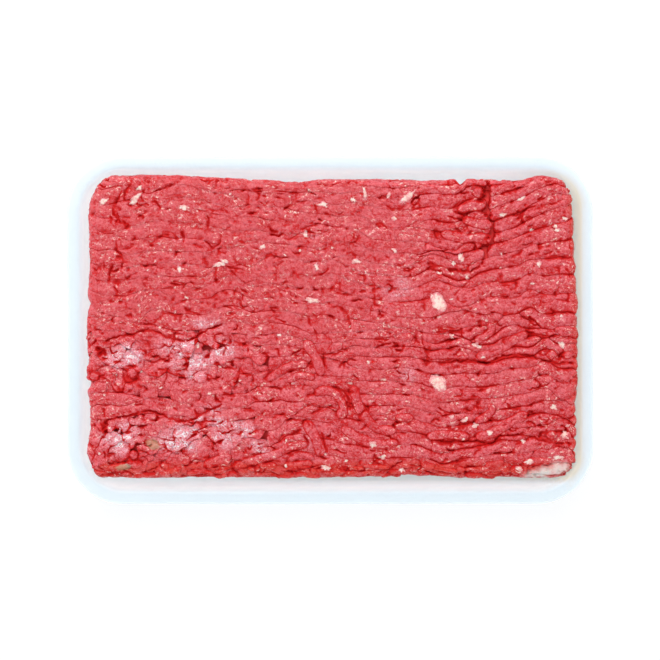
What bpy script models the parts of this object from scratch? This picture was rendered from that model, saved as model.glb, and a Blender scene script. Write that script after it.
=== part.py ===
"""A tray pack of ground meat: a white foam tray and the block of pressed meat strands that fills it.

Metres, +Z up, +X along the tray's long side. The origin is on the ground under the tray's centre.
"""

import math

import bmesh
import bpy
from mathutils import Vector, noise

# Tray: the outline of its rim, and the section of its wall.
TRAY_LENGTH = 0.210
TRAY_WIDTH = 0.139
TRAY_HEIGHT = 0.0225
RIM_CORNER_RADIUS = 0.0225
CORNER_TIGHTENING = 0.85  # how much of an inset comes off the corner radius
SMALLEST_CORNER_RADIUS = 0.0070
RIM_FLAT = 0.0050  # from the outer edge to where the wall turns down
RIM_THICKNESS = 0.0026
RIM_EDGE_RADIUS = 0.0012
RIM_TURN_RADIUS = 0.0016  # between the flat of the rim and the inner wall
WALL_RUN = 0.0112  # how far the inner wall slopes in from rim to floor
WALL_THICKNESS = 0.0026
FLOOR_THICKNESS = 0.0030
FLOOR_FILLET = 0.0050
FOOT_FILLET = 0.0045
FOOT_BAND = 0.0070
UNDER_RECESS = 0.0008
CORNER_STEPS = 10
FILLET_STEPS = 4

# Meat: how far its edge stays inside the rim on each side, and the radii of its corners.
MEAT_INSETS = {"near": 0.0105, "right": 0.0056, "far": 0.0076, "left": 0.0082}
MEAT_CORNER_RADII = (0.0060, 0.0080, 0.0130, 0.0120)  # near left, near right, far right, far left
MEAT_GAP = 0.0004  # clearance to the tray
MEAT_TOP = 0.0258
MEAT_EDGE_HEIGHT = 0.0240  # where the rounded edge passes into the top
SHOULDER_WIDTH = {"near": 0.0060, "right": 0.0035, "far": 0.0030, "left": 0.0040}
STRANDS = 24
ROWS_PER_STRAND = 3
COLUMNS = 38
GROOVE_DEPTH = 0.0011
LUMP_HEIGHT = 0.0008
STRAND_SAG = 0.0040

# Dips of the meat's outline: side, place along that side, half width, depth.
OUTLINE_DIPS = (
    ("far", 0.0520, 0.0035, 0.0016),
    ("far", 0.0740, 0.0100, 0.0010),
    ("far", 0.0400, 0.0600, 0.0020),
    ("far", -0.0140, 0.0130, 0.0008),
    ("far", -0.0200, 0.0500, 0.0020),
    ("left", 0.0560, 0.0120, 0.0014),
    ("left", 0.0300, 0.0300, 0.0008),
    ("left", 0.0105, 0.0055, 0.0010),
    ("left", -0.0215, 0.0050, 0.0014),
    ("left", -0.0350, 0.0180, 0.0010),
    ("left", -0.0560, 0.0090, 0.0018),
    ("near", 0.0300, 0.0240, 0.0010),
    ("right", 0.0500, 0.0560, 0.0018),
    ("right", -0.0300, 0.0100, 0.0008),
    ("right", -0.0500, 0.0300, 0.0007),
)
DIP_CLEARANCE = 0.0010  # how far outside the wall the outline may lie and still be dipped
DIP_FADE = 0.0015

# Steps of the meat's side, from the tray's floor to the full outline.
SIDE_HEIGHTS = (0.0034, 0.0042, 0.0060, 0.0100, 0.0150, 0.0195)
SHOULDER_STEPS = ((0.0220, 0.0005), (MEAT_EDGE_HEIGHT, 0.0016))  # height, further inset

SIDES = ("near", "right", "far", "left")
CORNER_SIDES = (("left", "near"), ("right", "near"), ("right", "far"), ("left", "far"))


def arc(centre, radius, start, end, steps):
    """Points of a section's arc, in degrees from the direction in which the inset grows."""
    angles = [math.radians(start + (end - start) * i / steps) for i in range(steps + 1)]
    return [(centre[0] + radius * math.cos(a), centre[1] + radius * math.sin(a)) for a in angles]


def wall_angle():
    """The slope of the tray's wall from the ground, in degrees."""
    return math.degrees(math.atan2(TRAY_HEIGHT - FLOOR_THICKNESS, WALL_RUN))


def wall_inset(height):
    """How far the tray's inner surface lies inside the rim's outline at this height, fillet included."""
    slope = math.radians(wall_angle())
    straight = RIM_FLAT + (TRAY_HEIGHT - height) / math.tan(slope)
    fillet_reach = FLOOR_FILLET * math.tan(slope / 2)
    foot = RIM_FLAT + WALL_RUN
    centre_height = FLOOR_THICKNESS + FLOOR_FILLET
    tangent_height = centre_height - FLOOR_FILLET * math.cos(slope)
    if height >= tangent_height:
        return straight
    below = min(max(centre_height - height, 0.0), FLOOR_FILLET)
    return foot + fillet_reach - math.sqrt(FLOOR_FILLET**2 - below**2)


def tray_section():
    """The tray's wall as (inset from the rim's outer edge, height), from the foot round to the floor."""
    slope = wall_angle()
    turn = math.radians(slope)
    shift = WALL_THICKNESS / math.sin(turn)
    outer_top = RIM_FLAT - shift
    outer_foot = outer_top + TRAY_HEIGHT / math.tan(turn)
    foot_reach = FOOT_FILLET * math.tan(turn / 2)
    foot_start = outer_foot + foot_reach
    under_rim = TRAY_HEIGHT - RIM_THICKNESS
    outer_at_rim = outer_top + RIM_THICKNESS / math.tan(turn)
    turn_reach = RIM_TURN_RADIUS * math.tan(turn / 2)
    floor_reach = FLOOR_FILLET * math.tan(turn / 2)
    inner_foot = RIM_FLAT + WALL_RUN

    section = [
        (foot_start + FOOT_BAND + 2 * UNDER_RECESS, UNDER_RECESS),
        (foot_start + FOOT_BAND, 0.0),
    ]
    section += arc((foot_start, FOOT_FILLET), FOOT_FILLET, -90, -90 - slope, FILLET_STEPS)
    section += [(outer_at_rim, under_rim)]
    section += arc((RIM_EDGE_RADIUS, under_rim + RIM_EDGE_RADIUS), RIM_EDGE_RADIUS, -90, -180, 2)
    section += arc((RIM_EDGE_RADIUS, TRAY_HEIGHT - RIM_EDGE_RADIUS), RIM_EDGE_RADIUS, 180, 90, 3)
    rim_turn = (RIM_FLAT - turn_reach, TRAY_HEIGHT - RIM_TURN_RADIUS)
    section += arc(rim_turn, RIM_TURN_RADIUS, 90, 90 - slope, 3)
    floor_turn = (inner_foot + floor_reach, FLOOR_THICKNESS + FLOOR_FILLET)
    section += arc(floor_turn, FLOOR_FILLET, -90 - slope, -90, FILLET_STEPS)
    return section


def corner_radius(inset):
    """The tray's corner radius on the loop that lies this far inside the rim's outer edge."""
    return max(RIM_CORNER_RADIUS - CORNER_TIGHTENING * inset, SMALLEST_CORNER_RADIUS)


def corner_centre(corner, insets, radii):
    """The middle of a corner's arc in a rounded rectangle with its own inset on each side."""
    radius = radii[corner]
    across = {
        "left": -TRAY_LENGTH / 2 + insets["left"] + radius,
        "right": TRAY_LENGTH / 2 - insets["right"] - radius,
    }
    along = {
        "near": -TRAY_WIDTH / 2 + insets["near"] + radius,
        "far": TRAY_WIDTH / 2 - insets["far"] - radius,
    }
    x_side, y_side = CORNER_SIDES[corner]
    return Vector((across[x_side], along[y_side]))


def tray_loop(inset):
    """One loop of the tray round its rounded rectangle, anticlockwise from the near left corner."""
    insets = dict.fromkeys(SIDES, inset)
    radius = corner_radius(inset)
    points = []
    for corner in range(4):
        centre = corner_centre(corner, insets, (radius,) * 4)
        for step in range(CORNER_STEPS + 1):
            angle = math.radians(180 + 90 * corner + 90 * step / CORNER_STEPS)
            points.append(centre + radius * Vector((math.cos(angle), math.sin(angle))))
    return points


def loft(mesh, loops):
    """Joins closed loops of points with quads and caps both ends. The first loop is the bottom one."""
    rings = [[mesh.verts.new(point) for point in loop] for loop in loops]
    for lower, upper in zip(rings, rings[1:]):
        for i in range(len(lower)):
            j = (i + 1) % len(lower)
            mesh.faces.new((lower[i], lower[j], upper[j], upper[i]))
    return rings


def make_object(name, mesh, material, smooth_angle):
    """Closes the faces' directions and puts the mesh in the scene as one object."""
    bmesh.ops.recalc_face_normals(mesh, faces=mesh.faces[:])
    data = bpy.data.meshes.new(name)
    mesh.to_mesh(data)
    mesh.free()
    data.shade_smooth()
    data.set_sharp_from_angle(angle=math.radians(smooth_angle))
    data.materials.append(material)
    thing = bpy.data.objects.new(name, data)
    bpy.context.scene.collection.objects.link(thing)
    return thing


def make_material(name, colour, roughness):
    material = bpy.data.materials.new(name)
    material.use_nodes = True
    shader = material.node_tree.nodes["Principled BSDF"]
    shader.inputs["Base Color"].default_value = (*colour, 1.0)
    shader.inputs["Roughness"].default_value = roughness
    shader.inputs["Metallic"].default_value = 0.0
    return material


def make_tray():
    """The wall's section, lofted round the tray, with a flat floor and a flat recessed underside."""
    mesh = bmesh.new()
    loops = [[(*point, height) for point in tray_loop(inset)] for inset, height in tray_section()]
    rings = loft(mesh, loops)
    mesh.faces.new(rings[0][::-1])
    mesh.faces.new(rings[-1])
    return make_object("tray", mesh, make_material("white_foam", (0.86, 0.90, 0.93), 0.55), 40)


def dip(side, place):
    """How deep the meat's outline is dented at a place along one of its sides."""
    depth = 0.0
    for dip_side, centre, half_width, dip_depth in OUTLINE_DIPS:
        reach = abs(place - centre) / half_width
        if dip_side == side and reach < 1:
            depth += dip_depth * math.cos(math.pi / 2 * reach) ** 2
    return depth


def fitting_radius(wall_radius, rooms):
    """The smallest corner radius that stays clear of the wall's corner, given the room on its two sides."""
    reach = sum(rooms) - MEAT_GAP
    span = reach**2 - (rooms[0] ** 2 + rooms[1] ** 2 - MEAT_GAP**2)
    return wall_radius - reach - math.sqrt(max(span, 0.0))


def meat_bounds(height, further):
    """Insets and corner radii of the meat at this height: its own, or the tray's wall if that is tighter."""
    wall = wall_inset(height)
    insets = {side: max(MEAT_INSETS[side] + further, wall + MEAT_GAP) for side in SIDES}
    radii = []
    for corner, own in enumerate(MEAT_CORNER_RADII):
        rooms = [insets[side] - wall for side in CORNER_SIDES[corner]]
        radii.append(max(own - further, fitting_radius(corner_radius(wall), rooms)))
    return insets, radii


def meat_side_point(side, fraction, height, further):
    """A point on the meat's outline, part of the way from one corner's middle to the next one's."""
    insets, radii = meat_bounds(height, further)
    start, end = side, (side + 1) % 4
    first, last = corner_centre(start, insets, radii), corner_centre(end, insets, radii)
    direction = math.radians(90 * side)
    along = Vector((math.cos(direction), math.sin(direction)))
    outward = Vector((along.y, -along.x))
    begin = first + outward * radii[start]
    finish = last + outward * radii[end]
    lengths = (radii[start] * math.pi / 4, (finish - begin).length, radii[end] * math.pi / 4)
    walked = fraction * sum(lengths)
    if walked < lengths[0]:
        angle = direction - math.pi / 2 - (lengths[0] - walked) / radii[start]
        normal = Vector((math.cos(angle), math.sin(angle)))
        point = first + normal * radii[start]
    elif walked <= lengths[0] + lengths[1]:
        normal = outward
        point = begin + along * (walked - lengths[0])
    else:
        angle = direction - math.pi / 2 + (walked - lengths[0] - lengths[1]) / radii[end]
        normal = Vector((math.cos(angle), math.sin(angle)))
        point = last + normal * radii[end]
    place = point.x if SIDES[side] in ("near", "far") else point.y
    clearance = MEAT_INSETS[SIDES[side]] - wall_inset(height) + DIP_CLEARANCE
    freedom = min(max(clearance / DIP_FADE, 0.0), 1.0)
    return point - normal * dip(SIDES[side], place) * freedom


def side_counts():
    rows = STRANDS * ROWS_PER_STRAND
    return (COLUMNS, rows, COLUMNS, rows)


def meat_loop(height, further):
    """One loop round the meat, anticlockwise from its near left corner."""
    return [
        meat_side_point(side, step / count, height, further)
        for side, count in enumerate(side_counts())
        for step in range(count)
    ]


def smooth_step(value):
    value = min(max(value, 0.0), 1.0)
    return value * value * (3 - 2 * value)


def surface_noise(point, scale, seed):
    """Smooth noise between about -1 and 1 over the meat, whose bumps are this many metres across."""
    return noise.noise(Vector((point.x / scale, point.y / scale, seed)))


def shoulder(point):
    """From 0 at the meat's edge to 1 where its top has come up to full height."""
    distances = {
        "near": point.y + TRAY_WIDTH / 2 - MEAT_INSETS["near"],
        "right": TRAY_LENGTH / 2 - MEAT_INSETS["right"] - point.x,
        "far": TRAY_WIDTH / 2 - MEAT_INSETS["far"] - point.y,
        "left": point.x + TRAY_LENGTH / 2 - MEAT_INSETS["left"],
    }
    rise = 1.0
    for side in SIDES:
        inside = distances[side] - dip(side, point.x if side in ("near", "far") else point.y)
        reach = min(max(inside / SHOULDER_WIDTH[side], 0.0), 1.0)
        rise *= math.sqrt(1 - (1 - reach) ** 2)
    return rise


def strand_sag(u, v):
    """How far the strands hang below straight rows: a long arc in the right-hand third."""
    reach = smooth_step((u - 0.60) / 0.12) * math.sin(math.pi * min(max((u - 0.60) / 0.40, 0), 1))
    return STRAND_SAG * reach * math.sin(math.pi * v)


def top_height(point, row, column):
    """The height of the pressed strands: flat ridges, grooves that fade here and there, and breaks."""
    ridge = row % ROWS_PER_STRAND != 0
    fading = smooth_step(0.55 + 0.9 * surface_noise(point, 0.016, 3.0))
    groove = 0.0 if ridge else GROOVE_DEPTH * (0.35 + 0.65 * fading)
    strand = row // ROWS_PER_STRAND
    break_here = surface_noise(Vector((column * 0.004, strand * 0.011)), 0.006, 8.0) > 0.28
    lumpy = smooth_step((0.2 - point.x / TRAY_LENGTH - point.y / TRAY_WIDTH) / 0.6)
    lumps = LUMP_HEIGHT * (0.5 + lumpy) * surface_noise(point, 0.008, 5.0)
    rise = shoulder(point)
    full = MEAT_TOP - groove - (0.6 * GROOVE_DEPTH if break_here and ridge else 0.0) + lumps
    return MEAT_EDGE_HEIGHT + (full - MEAT_EDGE_HEIGHT) * rise


def top_grid(edge):
    """Rows of points over the meat's top, pinned to its edge loop, each row along a strand."""
    columns, rows, _, _ = side_counts()
    near = edge[: columns + 1]
    right = edge[columns : columns + rows + 1]
    far = edge[columns + rows : 2 * columns + rows + 1][::-1]
    left = (edge[2 * columns + rows :] + edge[:1])[::-1]
    grid = []
    for row in range(rows + 1):
        v = row / rows
        line = []
        for column in range(columns + 1):
            u = column / columns
            across = near[column] * (1 - v) + far[column] * v
            along = left[row] * (1 - u) + right[row] * u
            corners = (near[0] * (1 - u) + near[-1] * u) * (1 - v)
            corners += (far[0] * (1 - u) + far[-1] * u) * v
            point = across + along - corners
            point.y -= strand_sag(u, v)
            line.append(point)
        grid.append(line)
    return grid


def make_ground_meat():
    """Side loops that follow the tray's wall and then the meat's own outline, under a ridged top."""
    mesh = bmesh.new()
    steps = [(height, 0.0) for height in SIDE_HEIGHTS] + list(SHOULDER_STEPS)
    loops = [[(*point, height) for point in meat_loop(height, more)] for height, more in steps]
    rings = loft(mesh, loops)
    mesh.faces.new(rings[0][::-1])

    columns, rows, _, _ = side_counts()
    edge = rings[-1]
    grid = top_grid([Vector(vertex.co[:2]) for vertex in edge])
    pinned = {}
    for step in range(columns):
        pinned[0, step] = edge[step]
        pinned[rows, columns - step] = edge[columns + rows + step]
    for step in range(rows):
        pinned[step, columns] = edge[columns + step]
        pinned[rows - step, 0] = edge[2 * columns + rows + step]
    vertices = {}
    for row in range(rows + 1):
        for column in range(columns + 1):
            point = grid[row][column]
            inner = (row, column) not in pinned
            vertices[row, column] = (
                mesh.verts.new((*point, top_height(point, row, column)))
                if inner
                else pinned[row, column]
            )
    for row in range(rows):
        for column in range(columns):
            square = ((row, column), (row, column + 1), (row + 1, column + 1), (row + 1, column))
            mesh.faces.new([vertices[place] for place in square])
    return make_object("ground_meat", mesh, make_material("raw_meat", (0.60, 0.09, 0.10), 0.40), 60)


def main():
    for old in list(bpy.data.objects):
        bpy.data.objects.remove(old, do_unlink=True)
    make_tray()
    make_ground_meat()


main()
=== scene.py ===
"""Looks of a tray pack of ground meat: the foam tray, and the pressed strands, crumbs and fat in it.

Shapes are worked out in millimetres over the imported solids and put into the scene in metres. The
meat's strands are laid out flat, on the plane that its skin would unroll to, and then rolled over
the edges of the block. A point there is (x, y, height over the skin).
"""

import math

import bmesh
import bpy
import numpy as np
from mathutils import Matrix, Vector
from mathutils.bvhtree import BVHTree


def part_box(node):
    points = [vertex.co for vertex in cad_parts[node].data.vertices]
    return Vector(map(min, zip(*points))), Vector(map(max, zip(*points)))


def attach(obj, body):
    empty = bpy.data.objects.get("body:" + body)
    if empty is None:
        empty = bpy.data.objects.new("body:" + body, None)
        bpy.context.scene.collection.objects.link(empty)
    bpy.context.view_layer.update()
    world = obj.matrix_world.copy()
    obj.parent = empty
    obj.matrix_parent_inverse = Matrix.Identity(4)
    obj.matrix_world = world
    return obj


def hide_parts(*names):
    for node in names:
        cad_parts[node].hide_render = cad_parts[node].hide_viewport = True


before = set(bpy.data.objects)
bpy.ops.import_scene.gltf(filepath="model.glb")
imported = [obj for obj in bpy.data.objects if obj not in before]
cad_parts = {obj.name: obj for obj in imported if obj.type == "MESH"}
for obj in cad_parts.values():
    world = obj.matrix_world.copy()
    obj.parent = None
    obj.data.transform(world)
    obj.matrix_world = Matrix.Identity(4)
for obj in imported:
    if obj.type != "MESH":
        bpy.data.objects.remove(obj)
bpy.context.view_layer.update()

MM = 0.001
rng = np.random.default_rng(20)


def box_mm(node):
    return [np.array(corner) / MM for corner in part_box(node)]


TRAY_LOW, TRAY_HIGH = box_mm("tray")
MEAT_LOW, MEAT_HIGH = box_mm("ground_meat")

# Tray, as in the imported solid: its section is a flat rim, a sloping wall and a floor.
RIM_RADIUS = 22.5
CORNER_TIGHTENING = 0.85
SMALLEST_RADIUS = 7.0
RIM_FLAT = 5.0
RIM_THICKNESS = 2.6
RIM_EDGE_RADIUS = 1.2
RIM_TURN_RADIUS = 1.6
WALL_RUN = 11.2
WALL_THICKNESS = 2.6
FLOOR_THICKNESS = 3.0
FLOOR_FILLET = 5.0
FOOT_FILLET = 4.5
FOOT_BAND = 7.0
UNDER_RECESS = 0.8
RIM_HEIGHT = TRAY_HIGH[2]
WALL_SLOPE = math.atan2(RIM_HEIGHT - FLOOR_THICKNESS, WALL_RUN)
WALL_GAP = 0.35

# Block of meat: its outline, and the rounding of its top edge.
SKIN_HEIGHT = MEAT_HIGH[2] - 1.1
EDGE_ROUND = 4.0
SIDE_REACH = 7.0
CORNER_RADII = {"near left": 6.0, "near right": 8.0, "far right": 13.0, "far left": 12.0}
UNROLLED = EDGE_ROUND * (math.pi / 2 - 1) + SIDE_REACH  # beyond the outline, on the unrolled plane
# Dents of the outline: side, place along it, half width, depth.
OUTLINE_DENTS = (
    ("far", 52.0, 2.4, 1.8),
    ("far", 67.5, 2.0, 0.7),
    ("far", 74.0, 10.0, 1.0),
    ("far", 40.0, 60.0, 2.0),
    ("far", -14.0, 13.0, 0.8),
    ("far", -20.0, 50.0, 2.0),
    ("left", 56.0, 12.0, 1.4),
    ("left", 30.0, 30.0, 0.8),
    ("left", 10.4, 3.5, 1.0),
    ("left", -21.5, 3.0, 1.4),
    ("left", -35.0, 18.0, 1.0),
    ("left", -56.0, 9.0, 1.8),
    ("near", 30.0, 22.0, 1.0),
    ("right", 50.0, 56.0, 1.8),
    ("right", -30.0, 10.0, 0.8),
    ("right", -50.0, 30.0, 0.7),
)

PITCH = 4.75  # from one strand to the next
RING_STEP = 0.46
STRAND_DEPTH = 4.2
CORE_COVER = 2.5  # over the core
WELD = 0.01


# ---- Noise and small helpers ----


HASH_FACTORS = (374761393, 668265263, 1274126177, 974711)
HASH_MIXERS = (1103515245, 2654435761)


def lattice(ix, iy, iz, seed):
    """A repeatable number from -1 to 1 for each point of a whole-number lattice."""
    mask = np.int64(0xFFFFFFFF)
    mixed = sum(value * factor for value, factor in zip((ix, iy, iz, seed), HASH_FACTORS)) & mask
    mixed = ((mixed ^ (mixed >> 13)) * HASH_MIXERS[0]) & mask
    mixed = ((mixed ^ (mixed >> 15)) * HASH_MIXERS[1] // 7) & mask
    return (mixed ^ (mixed >> 16)).astype(np.float64) / 2**31 - 1.0


def noise(x, y, z=0.0, seed=0):
    """Smooth noise from -1 to 1 whose bumps are about one unit across."""
    x, y, z = np.broadcast_arrays(*(np.asarray(v, float) for v in (x, y, z)))
    cells = [np.floor(v).astype(np.int64) for v in (x, y, z)]
    parts = [v - c for v, c in zip((x, y, z), cells)]
    fades = [p * p * p * (p * (p * 6 - 15) + 10) for p in parts]
    total = np.zeros(x.shape)
    for corner in range(8):
        step = [corner >> axis & 1 for axis in range(3)]
        weight = 1.0
        for fade, s in zip(fades, step):
            weight = weight * (fade if s else 1 - fade)
        total += weight * lattice(*(c + s for c, s in zip(cells, step)), seed)
    return total


def fractal(x, y, z=0.0, seed=0, octaves=3):
    total, reach, size = 0.0, 1.0, 0.0
    for octave in range(octaves):
        scale = 2.0**octave
        total = total + reach * noise(np.asarray(x) * scale, np.asarray(y) * scale, z, seed + octave)
        size += reach
        reach *= 0.5
    return total / size


def smooth(low, high, value):
    """0 below low, 1 above high, and smooth between them."""
    part = np.clip((np.asarray(value, float) - low) / (high - low), 0, 1)
    return part * part * (3 - 2 * part)


def bump(value, centre, half_width):
    """1 at the centre, falling smoothly to 0 at half_width from it."""
    return np.cos(np.pi / 2 * np.clip(np.abs(value - centre) / half_width, 0, 1)) ** 2


def rounded_distance(x, y, low, high, radius):
    """Distance outside a rounded rectangle, negative inside, and the direction out of it."""
    centre_x, centre_y = (low[0] + high[0]) / 2, (low[1] + high[1]) / 2
    across, along = x - centre_x, y - centre_y
    qx = np.abs(across) - ((high[0] - low[0]) / 2 - radius)
    qy = np.abs(along) - ((high[1] - low[1]) / 2 - radius)
    ox, oy = np.maximum(qx, 0), np.maximum(qy, 0)
    length = np.hypot(ox, oy)
    distance = length + np.minimum(np.maximum(qx, qy), 0) - radius
    safe = np.maximum(length, 1e-9)
    corner = length > 1e-9
    nx = np.where(corner, ox / safe, qx > qy) * np.where(across < 0, -1.0, 1.0)
    ny = np.where(corner, oy / safe, qx <= qy) * np.where(along < 0, -1.0, 1.0)
    return distance, nx, ny


# ---- The meat's skin: from the unrolled plane to the block ----


def corner_radius(x, y):
    """The radius of the block's corner in whose quarter a point lies."""
    middle = (MEAT_LOW + MEAT_HIGH) / 2
    near, left = y < middle[1], x < middle[0]
    return np.select(
        [near & left, near & ~left, ~near & ~left],
        [CORNER_RADII["near left"], CORNER_RADII["near right"], CORNER_RADII["far right"]],
        CORNER_RADII["far left"],
    )


def from_edge(x, y):
    """How far a point of the unrolled plane lies outside the block's outline, and the way out."""
    return rounded_distance(x, y, MEAT_LOW, MEAT_HIGH, corner_radius(x, y))


def dent(x, y, nx, ny):
    """How far the outline is dented where it passes a point, given the way out there."""
    places = {"far": (x, ny), "near": (x, -ny), "left": (y, -nx), "right": (y, nx)}
    depth = 0.0
    for side, centre, half_width, deepest in OUTLINE_DENTS:
        place, way_out = places[side]
        depth = depth + deepest * bump(place, centre, half_width) * np.maximum(way_out, 0) ** 2
    return depth + 0.25 * noise(x / 4, y / 4, seed=3)


def crown(x, y):
    """How far the pressed top stands above or below its mean height."""
    near_fall = -1.2 * (1 - smooth(MEAT_LOW[1], MEAT_LOW[1] + 14, y))
    return near_fall + 0.35 * noise(x / 26, y / 22, seed=5) + 0.15 * noise(x / 9, y / 8, seed=6)


def on_block(x, y, height):
    """Rolls points of the unrolled plane over the block's edges and keeps them off the tray's wall."""
    edge, nx, ny = from_edge(x, y)
    past = edge + EDGE_ROUND
    bend = np.clip(past / EDGE_ROUND, 0, np.pi / 2)
    down = np.maximum(past - EDGE_ROUND * np.pi / 2, 0)
    shift = np.where(past > 0, EDGE_ROUND * np.sin(bend) - past, 0.0)
    shift = shift + height * np.sin(bend)
    bx, by = x + nx * shift, y + ny * shift
    pulled = dent(bx, by, nx, ny) * smooth(-6, EDGE_ROUND, past)
    bx, by = bx - nx * pulled, by - ny * pulled
    bz = SKIN_HEIGHT + crown(bx, by) + height * np.cos(bend) - down
    bz = bz - EDGE_ROUND * (1 - np.cos(bend))
    return off_the_wall(bx, by, bz)


def wall_inset(z):
    return RIM_FLAT + (RIM_HEIGHT - z) / math.tan(WALL_SLOPE)


def off_the_wall(x, y, z):
    """Moves points that would be in the tray's wall inwards, off it."""
    inset = wall_inset(np.minimum(z, RIM_HEIGHT))
    radius = RIM_RADIUS - CORNER_TIGHTENING * inset
    low = [TRAY_LOW[axis] + inset for axis in (0, 1)]
    high = [TRAY_HIGH[axis] - inset for axis in (0, 1)]
    outside, nx, ny = rounded_distance(x, y, low, high, radius)
    move = np.where(z < RIM_HEIGHT, np.maximum(outside + WALL_GAP, 0), 0)
    return x - nx * move, y - ny * move, z


# ---- Layout of the meat ----

# The long crevice down from the far edge, and its branch.
TOP_CREVICE = ((62.9, 66.0), (62.9, 57.5), (63.3, 45.0), (65.3, 37.9), (62.5, 31.5), (59.7, 25.5))
SIDE_CREVICE = ((59.7, 25.5), (56.0, 23.6), (50.0, 23.5), (44.0, 25.2), (38.5, 26.6))
# Where the meat lies in loose crumbs: x and y of the middle, and half sizes.
CRUMB_FIELDS = ((-68.0, -13.0, 34.0, 9.5), (-67.0, -45.0, 34.0, 9.5))


def in_crumbs(x, y):
    """Above 0 where the meat lies in crumbs instead of strands."""
    inside = -9.0
    for middle_x, middle_y, half_x, half_y in CRUMB_FIELDS:
        past = np.maximum(np.abs(x - middle_x) - half_x, 0)
        ragged = 1.8 * noise(x / 6, y / 6, seed=31)
        field = half_y - np.abs(y - middle_y) - 0.9 * past * (x > middle_x) + ragged
        inside = np.maximum(inside, field)
    return inside


def looseness(x, y):
    """0 where the top was pressed until the strands merged, 1 where they stand out."""
    right = smooth(26, 42, x)
    middle = (1 - smooth(-8, 6, y)) * smooth(-46, -32, x)
    patches = 0.25 + 0.20 * noise(x / 17, y / 9, seed=29)
    return np.clip(np.maximum(patches, np.maximum(right, 0.62 * middle)), 0, 1)


def strand_slope(x, start):
    """The slope across the pack of the strand that starts at this y on the left."""
    fan = smooth(58, 68, x)
    upper, lower = smooth(14, 40, start), 1 - smooth(-58, -40, start)
    bowl = -0.34 * bump(x, 37.0, 9.0) * (1 - smooth(8, 22, start)) * (1 - lower)
    rise = smooth(44, 58, x) * (0.17 + 0.16 * upper - 0.12 * lower)
    flatter = 1 - smooth(78, 90, x) * (1 - 0.8 * upper)
    dip = -0.10 * smooth(82, 94, x) * (1 - upper)
    pressed = -0.07 * smooth(-70, -40, x) * (1 - smooth(10, 30, x)) * smooth(-10, 10, start)
    return bowl + rise * flatter * (0.7 + 0.3 * fan) + dip + pressed


class Map:
    """Values over the unrolled plane, into which marks are pressed."""

    STEP = 0.2
    LOW = (-114.0, -78.0)
    SIZE = (1140, 790)

    def __init__(self):
        self.values = np.zeros(self.SIZE)

    def stamp(self, x, y, radius, value, stretch=1.0, angle=0.0):
        """Presses one mark in. Where marks meet, the stronger one counts."""
        reach = 2.4 * radius * max(stretch, 1.0)
        span = []
        for place, low, size in zip((x, y), self.LOW, self.SIZE):
            first = int(np.clip((place - reach - low) / self.STEP, 0, size))
            last = int(np.clip((place + reach - low) / self.STEP + 2, 0, size))
            span.append((first, last))
        (x0, x1), (y0, y1) = span
        across = self.LOW[0] + self.STEP * np.arange(x0, x1)[:, None] - x
        along = self.LOW[1] + self.STEP * np.arange(y0, y1)[None, :] - y
        turned_x = (across * math.cos(angle) + along * math.sin(angle)) / stretch
        turned_y = along * math.cos(angle) - across * math.sin(angle)
        mark = value * np.exp(-(turned_x**2 + turned_y**2) / radius**2)
        window = self.values[x0:x1, y0:y1]
        np.maximum(window, mark, out=window)

    def line(self, route, radius, value, ragged=0.35):
        """Presses in an uneven line along a route."""
        at, path = smooth_path(route, 0.35, 3)
        seed = rng.uniform(0, 999)
        path += ragged * np.stack([noise(at / 1.5, seed, seed=33), noise(at / 1.5, seed, seed=34)], -1)
        fade = smooth(0, 1.2, at) * smooth(0, 1.2, at[-1] - at)
        strength = value * (0.75 + 0.45 * noise(at / 1.8, seed, seed=35)) * (0.25 + 0.75 * fade)
        widths = radius * (1 + 0.35 * noise(at / 1.4, seed, seed=36))
        for (x, y), width, deep in zip(path, widths, strength):
            self.stamp(x, y, width, deep)

    def read(self, x, y):
        """The values at any points, with ragged edges."""
        places = []
        for value, low, size, seed in zip((x, y), self.LOW, self.SIZE, (91, 92)):
            ragged = value + 0.28 * noise(x / 1.3, y / 1.3, seed=seed)
            ragged = ragged + 0.10 * noise(x / 0.6, y / 0.6, seed=seed + 2)
            places.append(np.clip((ragged - low) / self.STEP, 0, size - 1.001))
        fx, fy = places
        ix, iy = fx.astype(int), fy.astype(int)
        tx, ty = fx - ix, fy - iy
        near = self.values[ix, iy] * (1 - tx) + self.values[ix + 1, iy] * tx
        far = self.values[ix, iy + 1] * (1 - tx) + self.values[ix + 1, iy + 1] * tx
        return near * (1 - ty) + far * ty


def smooth_curve(at, along, values):
    """A smooth curve through the values, read at the places asked for."""
    slopes = np.gradient(values, along)
    piece = np.clip(np.searchsorted(along, at) - 1, 0, len(along) - 2)
    length = along[piece + 1] - along[piece]
    t = (at - along[piece]) / length
    a, b = values[piece], values[piece + 1]
    c, d = slopes[piece] * length, slopes[piece + 1] * length
    rise = a * (2 * t**3 - 3 * t**2 + 1) + b * (3 * t**2 - 2 * t**3)
    return rise + c * (t**3 - 2 * t**2 + t) + d * (t**3 - t**2)


def lengths_along(points):
    """How far each point of a line of points lies from its first, along it."""
    return np.concatenate([[0], np.cumsum(np.hypot(*np.diff(points, axis=0).T))])


def smooth_path(route, step, fewest):
    """Points at about this step along a smooth curve through a route, and how far along they lie."""
    route = np.array(route, float)
    along = lengths_along(route)
    at = np.linspace(0, along[-1], max(int(along[-1] / step), fewest))
    return at, np.stack([smooth_curve(at, along, route[:, axis]) for axis in (0, 1)], -1)


# The moves by which the pack's marks come back: across it, and towards its near edge.
ONCE = ()
ACROSS = ((54.7, 1.2),)
NEARER = ((0.0, -31.9),)
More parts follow.
